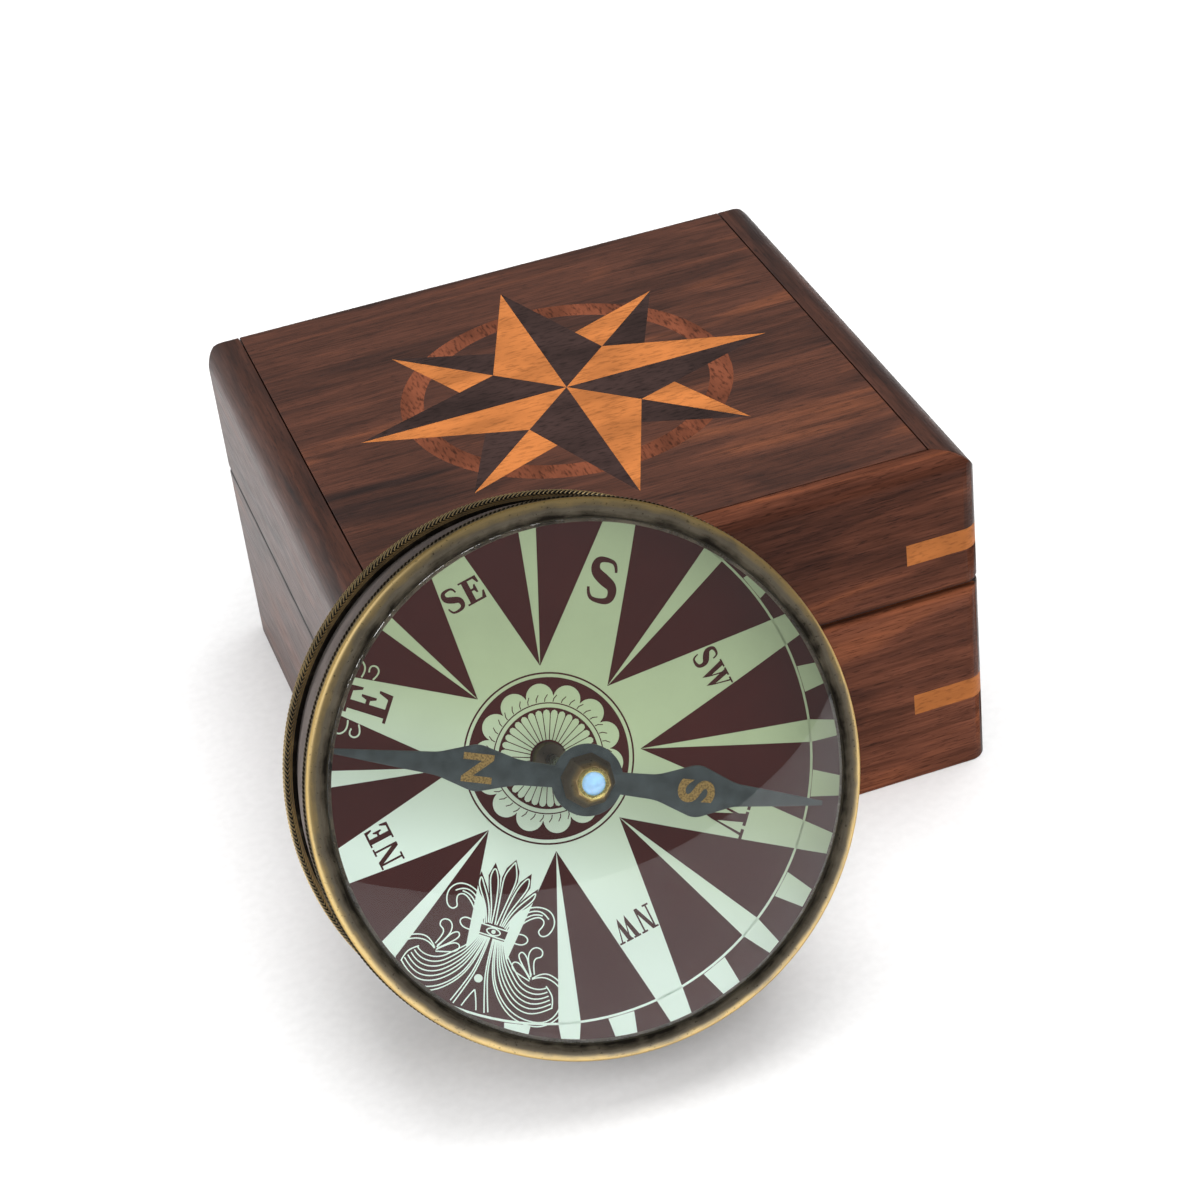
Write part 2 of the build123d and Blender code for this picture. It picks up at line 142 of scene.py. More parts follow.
def add(tree, kind, inputs=(), stops=(), **settings):
    """Adds a shader node, sets it, and fills its inputs with values or links."""
    node = tree.nodes.new("ShaderNode" + kind)
    for name, value in settings.items():
        setattr(node, name, value)
    for name, value in dict(inputs).items():
        feed(node.inputs[name], value)
    for i, (position, colour) in enumerate(stops):
        elements = node.color_ramp.elements
        element = elements[i] if i < 2 else elements.new(position)
        element.position, element.color = position, colour
    return node


def wire(shader, **sockets):
    """Sets or links a shader's sockets, named with _ for each space."""
    for name, value in sockets.items():
        feed(shader.inputs[name.replace("_", " ")], value)


def new_material(name, **constants):
    """A material, its node tree and its shader, with the shader's constant sockets set."""
    material = bpy.data.materials.new(name)
    material.use_nodes = True
    tree = material.node_tree
    shader = tree.nodes["Principled BSDF"]
    wire(shader, **constants)
    return material, tree, shader


# Meshes


def show(name, sheet, body, material, nodes=(), sharp=35):
    """Makes a finished bmesh a piece of the scene that rides on a body and stands for CAD nodes."""
    mesh = bpy.data.meshes.new(name)
    for face in sheet.faces:
        face.smooth = True
    sheet.to_mesh(mesh)
    sheet.free()
    mesh.set_sharp_from_angle(angle=math.radians(sharp))
    mesh.materials.append(material)
    piece = bpy.data.objects.new(name, mesh)
    bpy.context.scene.collection.objects.link(piece)
    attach(piece, body)
    if nodes:
        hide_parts(*nodes)
    return piece


def coat(node, material):
    """Gives a CAD node that is shown as it is its material."""
    coats = frame["nodes"][node].data.materials
    coats.clear()
    coats.append(material)


def in_case(sheet):
    """Moves a bmesh from the compass's own millimetres to its place in the frame."""
    bmesh.ops.transform(sheet, matrix=CASE_MM, verts=sheet.verts)
    return sheet


def merged(node):
    """A copy of a CAD node's mesh with its loose triangles joined and its flats made whole."""
    sheet = bmesh.new()
    sheet.from_mesh(frame["nodes"][node].data)
    bmesh.ops.remove_doubles(sheet, verts=sheet.verts, dist=0.002 * MM)
    bmesh.ops.dissolve_limit(
        sheet, angle_limit=math.radians(0.2), verts=sheet.verts, edges=sheet.edges
    )
    return sheet


def ease(sheet, width, wanted=lambda edge: True, sharp=35):
    """Bevels a bmesh's sharp edges that are wanted."""
    limit = math.radians(sharp)
    edges = [
        edge for edge in sheet.edges
        if len(edge.link_faces) == 2 and edge.calc_face_angle() > limit and wanted(edge)
    ]
    bmesh.ops.bevel(
        sheet, geom=edges, offset=width, affect="EDGES", segments=2, profile=0.5,
        material=-1, clamp_overlap=False,
    )
    return sheet


def sanded(node, width=0.08 * MM):
    """A merged copy of a CAD node with all its sharp edges eased."""
    return ease(merged(node), width)


def within(edge, axis, low, high, room=0.05 * MM):
    """Whether both ends of an edge lie between two places on an axis."""
    return all(low - room < vertex.co[axis] < high + room for vertex in edge.verts)


def spin(sheet, profile, steps, closed=True):
    """Adds a profile of (radius, height) points to a bmesh, turned round the compass's axis."""
    points = [sheet.verts.new((radius, 0, height)) for radius, height in profile]
    ends = zip(points, points[1:] + points[:1]) if closed else zip(points, points[1:])
    edges = [sheet.edges.new(pair) for pair in ends]
    bmesh.ops.spin(
        sheet, geom=points + edges, cent=(0, 0, 0), axis=(0, 0, 1), angle=TURN, steps=steps,
        use_merge=True,
    )


def spun(profile, steps, closed=True):
    """A bmesh of a profile turned round the compass's axis, with its poles and normals made whole."""
    sheet = bmesh.new()
    spin(sheet, profile, steps, closed)
    bmesh.ops.remove_doubles(sheet, verts=sheet.verts, dist=0.0005)
    bmesh.ops.recalc_face_normals(sheet, faces=sheet.faces)
    return sheet


def clockwise(sheet, verts, angle):
    """Turns points about the compass's axis, clockwise as its glass is looked at."""
    bmesh.ops.rotate(sheet, verts=verts, cent=(0, 0, 0), matrix=Matrix.Rotation(-angle, 3, "Z"))


def plate(sheet, outline, low, high):
    """Adds a closed plate with a flat outline of (x, y) points to a bmesh and returns its points."""
    corners = [sheet.verts.new((x, y, low)) for x, y in outline]
    face = sheet.faces.new(corners)
    grown = bmesh.ops.extrude_face_region(sheet, geom=[face], use_keep_orig=True)["geom"]
    top = [item for item in grown if isinstance(item, bmesh.types.BMVert)]
    bmesh.ops.translate(sheet, verts=top, vec=(0, 0, high - low))
    return corners + top


def repeated(sheet, corners, copies, start=0.0):
    """Turns a plate to its first angle, clockwise from north, and copies it evenly round the dial."""
    clockwise(sheet, corners, start)
    faces = list({face for corner in corners for face in corner.link_faces})
    edges = list({edge for corner in corners for edge in corner.link_edges})
    for i in range(1, copies):
        made = bmesh.ops.duplicate(sheet, geom=corners + edges + faces)["geom"]
        verts = [item for item in made if isinstance(item, bmesh.types.BMVert)]
        clockwise(sheet, verts, i * TURN / copies)


def disc(sheet, radius, low, high, segments=96):
    """Adds a closed round plate to a bmesh."""
    made = bmesh.ops.create_cone(
        sheet, cap_ends=True, segments=segments, radius1=radius, radius2=radius, depth=high - low
    )["verts"]
    bmesh.ops.translate(sheet, verts=made, vec=(0, 0, (low + high) / 2))
    return made


def band(sheet, inner, outer, low, high, steps=96):
    """Adds a closed flat ring to a bmesh."""
    spin(sheet, [(inner, low), (outer, low), (outer, high), (inner, high)], steps)


# Settings


class BoxLook(bpy.types.PropertyGroup):
    arris: bpy.props.FloatProperty(
        name="Arris", description="Width of the sanded bevel along a board's edges",
        default=0.16 * MM, precision=5, unit="LENGTH",
    )
    panel_gap: bpy.props.FloatProperty(
        name="Panel gap", description="Open joint between each panel and the walls round it",
        default=0.2 * MM, precision=5, unit="LENGTH",
    )
    seam_arris: bpy.props.FloatProperty(
        name="Seam arris", description="Width of the sanded bevel where the lid meets the base",
        default=0.55 * MM, precision=5, unit="LENGTH",
    )
    rosewood_dark: colour_setting("Rosewood dark", "Darkest streaks of the rosewood", "#2a1610")
    rosewood_mid: colour_setting("Rosewood mid", "Main colour of the rosewood", "#45261a")
    rosewood_light: colour_setting("Rosewood light", "Light streaks of the rosewood", "#683a24")
    maple: colour_setting("Maple", "Light wood of the star and the corner keys", "#b06a36")
    ebony: colour_setting("Dark inlay", "Dark wood of the star", "#342522")
    ring: colour_setting("Ring", "Wood of the ring round the star", "#6b3a26")
    felt: colour_setting("Felt", "Lining of the box", "#2c4a39")


class CaseLook(bpy.types.PropertyGroup):
    teeth: bpy.props.IntProperty(
        name="Milling teeth", description="Teeth round each milled edge", default=380, min=60,
    )
    tooth_depth: bpy.props.FloatProperty(
        name="Tooth depth", description="Depth of the milling", default=0.22 * MM, precision=5,
        unit="LENGTH",
    )
    tooth_slant: bpy.props.FloatProperty(
        name="Tooth slant", description="How far a tooth leans along the edge for its height",
        default=0.9, min=0, max=2,
    )
    brass_worn: colour_setting("Worn brass", "Rubbed edges of the case", "#d2b780")
    brass_aged: colour_setting("Aged brass", "Main colour of the case", "#8f8573")
    # Partly painted reflection: the barrel's patina is made greyer and lighter to stand for the
    # reflection its smooth side shows.
    barrel: colour_setting("Barrel", "Patina of the case's smooth side", "#918a87")
    brass_dark: colour_setting("Dark brass", "Grime in the hollows of the case", "#2b2722")


class DialLook(bpy.types.PropertyGroup):
    cream: colour_setting("Cream", "Rays of the dial", "#b0c39b")
    # Painted light: the paler cream of the rays at the dial's lower edge, where more light falls
    # through the glass.
    painted_light_cream: colour_setting("Faded cream", "Rays at the dial's lower edge", "#eafff2")
    maroon: colour_setting("Maroon", "Ground of the dial", "#3f1512")
    north_heading: bpy.props.FloatProperty(
        name="North heading", description="Clockwise turn of the dial's north from straight up",
        default=math.radians(212.2), subtype="ANGLE",
    )


class NeedleLook(bpy.types.PropertyGroup):
    steel: colour_setting("Steel", "Blued steel of the needle", "#3c4546")
    gold: colour_setting("Gold", "Letters on the needle", "#a58a52")
    jewel: colour_setting("Jewel", "Pale stone of the bearing", "#94bfe2")
    heading: bpy.props.FloatProperty(
        name="Heading", description="Turn of the needle's north from straight up",
        default=math.radians(68.3), subtype="ANGLE",
    )


class StageLook(bpy.types.PropertyGroup):
    azimuth: bpy.props.FloatProperty(
        name="Azimuth", description="Camera's turn round the box",
        default=math.radians(-15.388), subtype="ANGLE",
    )
    elevation: bpy.props.FloatProperty(
        name="Elevation", description="Camera's height above the horizon",
        default=math.radians(34.824), subtype="ANGLE",
    )
    roll: bpy.props.FloatProperty(
        name="Roll", description="Camera's roll", default=math.radians(-7.182), subtype="ANGLE",
    )
    distance: bpy.props.FloatProperty(
        name="Distance", description="Camera's distance", default=492.766 * MM, precision=4,
        unit="LENGTH",
    )
    target: bpy.props.FloatVectorProperty(
        name="Target", description="Point that the camera looks at",
        default=(0.071 * MM, -3.191 * MM, 20 * MM), precision=5, subtype="TRANSLATION",
        unit="LENGTH",
    )
    lens: bpy.props.FloatProperty(
        name="Lens", description="Focal length in mm", default=88.41, min=1,
    )
    floor: bpy.props.FloatProperty(
        name="Floor", description="Width of the floor", default=1.6, unit="LENGTH",
    )
    lamps: bpy.props.FloatProperty(
        name="Lamps", description="Share of the softboxes' full power", default=1.0, min=0,
    )
    window: bpy.props.FloatProperty(
        name="Window", description="Light of the room's window at the left", default=1.3, min=0,
    )
    room: bpy.props.FloatProperty(
        name="Room", description="Light of the rest of the room", default=0.25, min=0,
    )


# Wood and cloth


def along_grain(tree, place, grain, start, length, width, waves=0.0):
    """Noise drawn out along a board's grain: its length and width in mm, and how wavy it is."""
    scale = [1 / ((length if axis == grain else width) * MM) for axis in "XYZ"]
    turned = add(tree, "Mapping", {"Vector": place, "Location": start, "Scale": scale})
    return add(
        tree, "TexNoise", {"Vector": turned, "Scale": 1.0, "Detail": 3.0, "Distortion": waves}
    )


def seam_level(half):
    """Height of the base's upper rim or of the lid's lower one."""
    low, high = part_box(f"{half}_left_wall")
    return high.z if half == "base" else low.z


def seam_painted_shade(tree, place):
    """Share of the colour that painted shade along the box's seam leaves, on faces that aren't level.
    """
    seam = (seam_level("base") + seam_level("lid")) / 2
    rise = add(tree, "SeparateXYZ", {0: place}).outputs[2]
    above = add(tree, "Math", {0: rise, 1: seam}, operation="SUBTRACT")
    apart = add(tree, "Math", {0: above}, operation="ABSOLUTE")
    facing = add(tree, "SeparateXYZ", {0: add(tree, "TexCoord").outputs["Normal"]}).outputs[2]
    flat = add(tree, "Math", {0: facing}, operation="ABSOLUTE")
    rim = add(tree, "MapRange", {0: flat, 1: 0.85, 2: 0.97})
    # Painted shade: the colour darkens within a millimetre of the seam between lid and base.
    seam_shade = add(tree, "MapRange", {0: apart, 1: 0.4 * MM, 2: 1.0 * MM, 3: 0.08, 4: 1.0})
    return add(tree, "Math", {0: seam_shade, 1: rim}, operation="MAXIMUM")


def lacquered_rosewood(name, look, grain, start, tone_and_painted_light, gloss):
    """Rosewood, planed and finished with satin lacquer: dark streaks along the grain over a red
    brown, short open pores, a soft grey sheen at a low angle, and painted shade along the box's seam."""
    material, tree, shader = new_material(f"lacquered_rosewood_{name}", Specular_IOR_Level=gloss)
    place = add(tree, "TexCoord").outputs["Object"]
    # Each figure in the wood has a length and a width in mm, and a waviness.
    bands, streaks, fibres, pores = (
        along_grain(tree, place, grain, start, *figure)
        for figure in ((60, 9, 1.1), (26, 1.7, 0.9), (7, 0.32, 0.3), (2.2, 0.2, 0.2))
    )
    # The lightness scales the whole ramp; on the front and side boards it paints in light and shade.
    colour = add(
        tree, "ValToRGB", {0: bands},
        [
            (0.30, solid(look.rosewood_dark, tone_and_painted_light)),
            (0.46, solid(look.rosewood_mid, tone_and_painted_light)),
            (0.58, solid(look.rosewood_mid, 1.25 * tone_and_painted_light)),
            (0.72, solid(look.rosewood_light, tone_and_painted_light)),
        ],
    )
    dark_streaks = add(
        tree, "ValToRGB", {0: streaks},
        [(0.30, grey(0.5)), (0.42, grey(0.88)), (0.56, grey(1.0)), (0.72, grey(1.15))],
    )
    fine_fibres = add(tree, "ValToRGB", {0: fibres}, [(0.3, grey(0.6)), (0.7, grey(1.3))])
    open_pores = add(tree, "ValToRGB", {0: pores}, [(0.33, grey(0.25)), (0.43, grey(1.0))])
    # The last of these shades is painted shade along the seam.
    shades = (
        (dark_streaks, 0.85), (fine_fibres, 0.8), (open_pores, 0.7), (seam_painted_shade(tree, place), 1.0)
    )
    for shade, share in shades:
        colour = add(
            tree, "Mix", {0: share, 6: colour, 7: shade}, data_type="RGBA", blend_type="MULTIPLY",
            clamp_result=False,
        ).outputs[2]
    roughness = add(tree, "MapRange", {0: fibres, 1: 0.3, 2: 0.7, 3: 0.52, 4: 0.38})
    height = add(tree, "Math", {0: open_pores, 1: fibres}, operation="ADD")
    bump = add(tree, "Bump", {"Height": height, "Strength": 0.25, "Distance": 0.04 * MM})
    wire(shader, Base_Color=colour, Roughness=roughness, Normal=bump)
    return material


def lacquered_inlay(name, colour, grain, start, contrast=1.0, gloss=0.22):
    """Close-grained inlay wood, sanded flush and lacquered: nearly even colour with fine fibres
    and a soft sheen."""
    material, tree, shader = new_material(name, Specular_IOR_Level=gloss)
    place = add(tree, "TexCoord").outputs["Object"]
    clouds, fibres = (
        along_grain(tree, place, grain, start, *figure) for figure in ((16, 6), (1.8, 0.42))
    )
    figure = add(
        tree, "ValToRGB", {0: clouds},
        [(0.35, solid(colour, 1 - 0.22 * contrast)), (0.65, solid(colour, 1 + 0.18 * contrast))],
    )
    streaks = add(
        tree, "ValToRGB", {0: fibres}, [(0.32, grey(1 - 0.4 * contrast)), (0.5, grey(1.0))]
    )
    tone = add(
        tree, "Mix", {0: 0.9, 6: figure, 7: streaks}, data_type="RGBA", blend_type="MULTIPLY"
    ).outputs[2]
    roughness = add(tree, "MapRange", {0: fibres, 1: 0.3, 2: 0.7, 3: 0.5, 4: 0.38})
    bump = add(tree, "Bump", {"Height": fibres, "Strength": 0.15, "Distance": 0.03 * MM})
    wire(shader, Base_Color=tone, Roughness=roughness, Normal=bump)
    return material


def pressed_felt(name, look):
    """Wool felt, pressed: a dull mottled nap with a soft lighter edge."""
    material, tree, shader = new_material(
        name, Roughness=0.95, Sheen_Weight=0.2, Sheen_Roughness=0.5,
    )
    place = add(tree, "TexCoord").outputs["Object"]
    nap = add(tree, "TexNoise", {"Vector": place, "Scale": 1 / (0.5 * MM), "Detail": 4.0})
    clouds = add(tree, "TexNoise", {"Vector": place, "Scale": 1 / (9 * MM), "Detail": 2.0})
    both = add(tree, "Math", {0: nap, 1: clouds}, operation="ADD")
    mean = add(tree, "Math", {0: both, 1: 0.5}, operation="MULTIPLY")
    tone = add(
        tree, "ValToRGB", {0: mean},
        [(0.3, solid(look.felt, 0.6)), (0.7, solid(look.felt, 1.35))],
    )
    bump = add(tree, "Bump", {"Height": nap, "Strength": 0.6, "Distance": 0.1 * MM})
    wire(shader, Base_Color=tone, Normal=bump)
    return material


def polished_metal(name, colour, dull, grain=0.6):
    """Small polished metal fitting: fine rubbed scratches and slightly uneven gloss."""
    material, tree, shader = new_material(name, Metallic=1.0)
    place = add(tree, "TexCoord").outputs["Object"]
    rubbed = add(tree, "TexNoise", {"Vector": place, "Scale": 1 / (grain * MM), "Detail": 4.0})
    clouds = add(tree, "TexNoise", {"Vector": place, "Scale": 1 / (4 * MM), "Detail": 2.0})
    tone = add(
        tree, "ValToRGB", {0: clouds}, [(0.3, solid(colour, 0.7)), (0.65, solid(colour, 1.0))]
    )
    gloss = {0: rubbed, 1: 0.3, 2: 0.7, 3: dull - 0.08, 4: dull + 0.12}
    roughness = add(tree, "MapRange", gloss)
    bump = add(tree, "Bump", {"Height": rubbed, "Strength": 0.1, "Distance": 0.02 * MM})
    wire(shader, Base_Color=tone, Roughness=roughness, Normal=bump)
    return material


def show_board(node, sheet, wood):
    """Shows a sanded board in place of its CAD node, with even shading over its flats."""
    piece = show(f"{node}_sanded", sheet, node.split("_")[0], wood, [node])
    even = piece.modifiers.new("even_shading", "WEIGHTED_NORMAL")
    even.keep_sharp = True


def sand_panel(node, look, wood):
    """Draws a panel's border in from the walls round it and sands it."""
    low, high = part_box(node)
    room = 0.6 * MM
    sheet = merged(node)
    for vertex in sheet.verts:
        for axis in (0, 1):
            if vertex.co[axis] < low[axis] + room:
                vertex.co[axis] += look.panel_gap
            elif vertex.co[axis] > high[axis] - room:
                vertex.co[axis] -= look.panel_gap

    def on_border(edge):
        return any(
            within(edge, axis, side, side, room)
            for axis in (0, 1) for side in (low[axis], high[axis])
        )

    ease(sheet, look.arris, on_border)
    show_board(node, sheet, wood)


def sand_wall(half, side, look, wood):
    """Rounds a wall's outer edge at the seam, and sands its edges away from the seam and keys."""
    node = f"{half}_{side}_wall"
    low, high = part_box(node)
    key_low, key_high = (corner.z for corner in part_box(f"{half}_corner_keys"))
    seam = seam_level(half)
    along = side in ("front", "back")
    axis = 1 if along else 0
    outer = low[axis] if side in ("front", "left") else high[axis]

    def on_seam(edge):
        return within(edge, 2, seam, seam) and within(edge, axis, outer, outer, 3.2 * MM)

    def plain(edge):
        return not (
            within(edge, 2, key_low, key_high)
            or within(edge, 2, seam, seam, look.seam_arris + 0.1 * MM)
        )

    sheet = merged(node)
    ease(sheet, look.seam_arris, on_seam)
    ease(sheet, look.arris, plain)
    show_board(node, sheet, wood)


class COMPASSBOX_OT_boards(bpy.types.Operator):
    """Sands the boards of the base and the lid and gives them their lacquered rosewood"""

    bl_idname = "compassbox.boards"
    bl_label = "Box Boards"

    def execute(self, context):
        look = context.scene.compass_box_look
        # Each wood has its grain's axis, the start of its figure, its lightness and its gloss.
        # The lightness is partly painted light: front boards lighter and sides darker for how light
        # falls.
        finishes = {
            "panel": ("X", (8.2, 2.9, 4.4), 1.0, 0.6),
            "floor": ("X", (5.5, 9.1, 1.2), 0.9, 0.3),
            "lid_front": ("X", (3.1, 0.4, 7.7), 1.5, 0.08),
            "base_front": ("X", (3.1, 0.4, 7.7), 1.9, 0.08),
            "sides": ("Y", (1.3, 5.2, 2.6), 0.85, 0.65),
        }
        woods = {name: lacquered_rosewood(name, look, *finish) for name, finish in finishes.items()}
        sand_panel("lid_top_panel", look, woods["panel"])
        sand_panel("base_bottom_panel", look, woods["floor"])
        for half in ("base", "lid"):
            for side in ("front", "back"):
                sand_wall(half, side, look, woods[f"{half}_front"])
            for side in ("left", "right"):
                sand_wall(half, side, look, woods["sides"])
        return {"FINISHED"}


class COMPASSBOX_OT_inlay(bpy.types.Operator):
    """Gives the star, its ring and the corner keys their woods"""

    bl_idname = "compassbox.inlay"
    bl_label = "Inlay"

    def execute(self, context):
        look = context.scene.compass_box_look
        maple = lacquered_inlay("lacquered_maple", look.maple, "X", (2.2, 6.1, 0.3))
        keys = lacquered_inlay(
            "lacquered_maple_keys", solid(look.maple, 0.98), "X", (7.4, 1.8, 5.0), 0.9, 0.08
        )
        ebony = lacquered_inlay("lacquered_dark_inlay", look.ebony, "X", (4.1, 3.3, 8.8), 1.6)
        ring = lacquered_inlay("lacquered_ring_wood", look.ring, "Y", (9.3, 0.7, 6.5), 1.8)
        inlays = {
            "star_cardinal_light": (maple, "maple"),
            "star_diagonal_light": (maple, "maple"),
            "star_cardinal_dark": (ebony, "dark_inlay"),
            "star_diagonal_dark": (ebony, "dark_inlay"),
            "star_ring": (ring, "ring_inlay"),
            "lid_corner_keys": (keys, "maple"),
            "base_corner_keys": (keys, "maple"),
        }
        for node, (material, slot) in inlays.items():
            body = "base" if node.startswith("base") else "lid"
            show(f"{node}_fitted", merged(node), body, material, [node])
        return {"FINISHED"}


class COMPASSBOX_OT_lining(bpy.types.Operator):
    """Gives the pads inside the box their felt"""

    bl_idname = "compassbox.lining"
    bl_label = "Felt Lining"

    def execute(self, context):
        look = context.scene.compass_box_look
        felt = pressed_felt("pressed_wool_felt", look)
        for body in ("base", "lid"):
            node = f"{body}_pad"
            pad = show(f"{node}_felt", sanded(node, 0.3 * MM), body, felt, [node])
        return {"FINISHED"}


class COMPASSBOX_OT_fittings(bpy.types.Operator):
    """Gives the hinges, their screws and the magnets their metals"""

    bl_idname = "compassbox.fittings"
    bl_label = "Hinges and Magnets"

    def execute(self, context):
        brass = polished_metal("rolled_hinge_brass", linear("#b08d4f"), 0.32)
        screw = polished_metal("turned_screw_brass", linear("#9c7a41"), 0.3)
        nickel = polished_metal("plated_nickel", linear("#b9b8b2"), 0.22)
        for body in ("base", "lid"):
            for node, material, slot in (
                (f"{body}_hinge_leaves", brass, "hinge_brass"),
                (f"{body}_hinge_screws", screw, "hinge_brass"),
                (f"{body}_magnets", nickel, "nickel"),
            ):
                show(f"{node}_finished", sanded(node), body, material, [node])
        pins = sanded("hinge_pins")
        show("hinge_pins_finished", pins, "base", screw, ["hinge_pins"])
        return {"FINISHED"}


# Compass case


def case_millimetres(tree):
    """Place, radius, angle and height on the compass's axis, from the object's coordinates. Its
    unit is a millimetre, so a noise of scale 4 has grains of about a quarter of one."""
    turned = add(
        tree, "Mapping",
        {
            "Vector": add(tree, "TexCoord").outputs["Object"], "Scale": (MM, MM, MM),
            "Location": CASE.to_translation(), "Rotation": CASE.to_euler(),
        },
        vector_type="TEXTURE",
    )
    x, y, height = add(tree, "SeparateXYZ", {0: turned}).outputs
    flat = add(tree, "CombineXYZ", {0: x, 1: y})
    radius = add(tree, "VectorMath", {0: flat}, operation="LENGTH").outputs["Value"]
    angle = add(tree, "Math", {0: y, 1: x}, operation="ARCTAN2")
    return turned, radius, angle, height


def away_from(tree, radius, height, circle):
    """Distance in mm from a circle on the compass's axis, given as its radius and height."""
    across = add(tree, "Math", {0: radius, 1: circle[0]}, operation="SUBTRACT")
    along = add(tree, "Math", {0: height, 1: circle[1]}, operation="SUBTRACT")
    pair = add(tree, "CombineXYZ", {0: across, 1: along})
    return add(tree, "VectorMath", {0: pair}, operation="LENGTH").outputs["Value"]


def aged_brass(name, look, beads=(), wear_and_painted_light=(), dull=0.36, tone=1.0, crest=0.5, aged=None):
    """Brass, turned on a lathe, patinated brown and rubbed back: warm bright crests and edges,
    dark hollows, and faint rings from the tool. Beads are milled. Round each circle of wear and
    painted light the brass is brighter, or darker where its amount is below zero: rubbed brass,
    painted highlights and painted shade."""
    aged = aged or look.brass_aged
    material, tree, shader = new_material(name, Metallic=1.0, Specular_Tint=solid(aged, 1.6))
    place, radius, angle, height = case_millimetres(tree)
    wear = []
    for *bead, size in beads:
        away = away_from(tree, radius, height, bead)
        depth = look.tooth_depth / MM
        near = add(tree, "MapRange", {0: away, 1: size - depth, 2: size, 3: -0.8, 4: crest})
        past = add(tree, "Math", {0: away, 1: size + 0.05}, operation="LESS_THAN")
        wear.append(add(tree, "Math", {0: near, 1: past}, operation="MULTIPLY"))
    for *circle, spread, amount in wear_and_painted_light:
        away = away_from(tree, radius, height, circle)
        wear.append(add(tree, "MapRange", {0: away, 1: 0.0, 2: spread, 3: amount, 4: 0}))
    blotches = add(tree, "TexNoise", {"Vector": place, "Scale": 1 / 5.0, "Detail": 5.0})
    sweep = add(tree, "Math", {0: angle, 1: 6.0}, operation="MULTIPLY")
    lathe = add(tree, "CombineXYZ", {0: sweep, 1: radius, 2: height})
    rings = add(tree, "TexNoise", {"Vector": lathe, "Scale": 3.0, "Detail": 3.0})
    level = add(tree, "Mix", {0: 0.25, 2: blotches, 3: rings})
    for near in wear:
        level = add(tree, "Math", {0: level, 1: near}, operation="ADD")
    colour = add(
        tree, "ValToRGB", {0: level},
        [
            (0.12, solid(look.brass_dark, tone)),
            (0.40, solid(aged, 0.75 * tone)),
            (0.60, solid(aged, tone)),
            (0.95, solid(look.brass_worn, tone)),
        ],
    )
    pits = add(tree, "TexNoise", {"Vector": place, "Scale": 2.2, "Detail": 3.0})
    specks = add(tree, "ValToRGB", {0: pits}, [(0.30, grey(0.35)), (0.36, grey(1.0))])
    pitted = add(
        tree, "Mix", {0: 0.8, 6: colour, 7: specks}, data_type="RGBA", blend_type="MULTIPLY"
    ).outputs[2]
    gloss = {0: level, 1: 0.2, 2: 0.9, 3: dull + 0.14, 4: dull - 0.08}
    roughness = add(tree, "MapRange", gloss)
    bump = add(tree, "Bump", {"Height": rings, "Strength": 0.12, "Distance": 0.02 * MM})
    wire(shader, Base_Color=pitted, Roughness=roughness, Normal=bump)
    return material


def arc(bead, start, end, steps=6):
    """Points of a bead's round outline: from one angle in degrees to another."""
    radius, height, size = bead
    turns = [math.radians(start + (end - start) * i / steps) for i in range(steps + 1)]
    return [(radius + size * math.cos(at), height + size * math.sin(at)) for at in turns]


def milled(profile, beads, look):
    """Spins a profile and cuts slanted teeth into its beads."""
    steps = 2 * look.teeth
    sheet = spun(profile, steps)
    depth = look.tooth_depth / MM
    for vertex in sheet.verts:
        radius = math.hypot(vertex.co.x, vertex.co.y)
        for core, level, size in beads:
            across, along = radius - core, vertex.co.z - level
            away = math.hypot(across, along)
            if across < 0 or away > size + 0.01:
                continue
            angle = math.atan2(vertex.co.y, vertex.co.x)
            if round(angle / TURN * steps) % 2:
                share = (away - depth) / away
                vertex.co.xy *= (core + across * share) / radius
                vertex.co.z = level + along * share
            lean = look.tooth_slant * size * math.atan2(along, across) / radius
            vertex.co = Matrix.Rotation(lean, 3, "Z") @ vertex.co
            break
    return sheet


# Sizes of the case in mm: play round the foot's spigot, and how far the neck is set in.
SPIGOT_PLAY = 0.05
NECK_STEP = 0.8


def show_brass(name, sheet, brass, node):
    """Shows a turned part of the case in place of its CAD node."""
    show(name, in_case(sheet), "compass", brass, [node])


def turn_foot(look):
    """Turns the foot ring: two milled beads round its flange, and a spigot inside the barrel."""
    inner, flange, low, spigot_top = reach("compass_base_ring")
    bore, side, flange_top = reach("compass_barrel")[:3]
    spigot = bore - SPIGOT_PLAY
    shelf = flange_top - 0.15
    half = flange_top / 4
    beads = [(flange - half, low + half, half), (flange - half, flange_top - half, half)]
    profile = [(inner, low), *arc(beads[0], -90, 45), *arc(beads[1], -45, 100)]
    profile += [
        (flange - 1.6 * half, shelf), (spigot, shelf), (spigot, spigot_top), (inner, spigot_top),
    ]
    # Painted shade: darker on the flange's top face next to the neck, under the barrel's overhang.
    painted_recess_shade = [(side - NECK_STEP + 0.2, flange_top, 1.5, -0.45)]
    brass = aged_brass("aged_brass_foot", look, beads, painted_recess_shade, 0.4, 1.4, 0.7)
    sheet = milled(profile, beads, look)
    show_brass("compass_foot_ring_milled", sheet, brass, "compass_base_ring")


def turn_barrel(look):
    """Turns the barrel: a smooth wall above a narrower neck."""
    bore, side, low, top = reach("compass_barrel")
    neck = side - NECK_STEP
    neck_top = 8.4
    shoulder = 10.0
    profile = [
        (bore, low), (neck, low), (neck, neck_top), (side - 0.05, shoulder),
        (side, shoulder + 0.3), (side, top - 0.3), (side - 0.1, top), (bore, top),
    ]
    # The barrel's colour is its patina with a painted reflection in its grey tone.
    brass = aged_brass("aged_brass_barrel", look, dull=0.5, aged=look.barrel)
    show_brass("compass_barrel_turned", spun(profile, 240), brass, "compass_barrel")


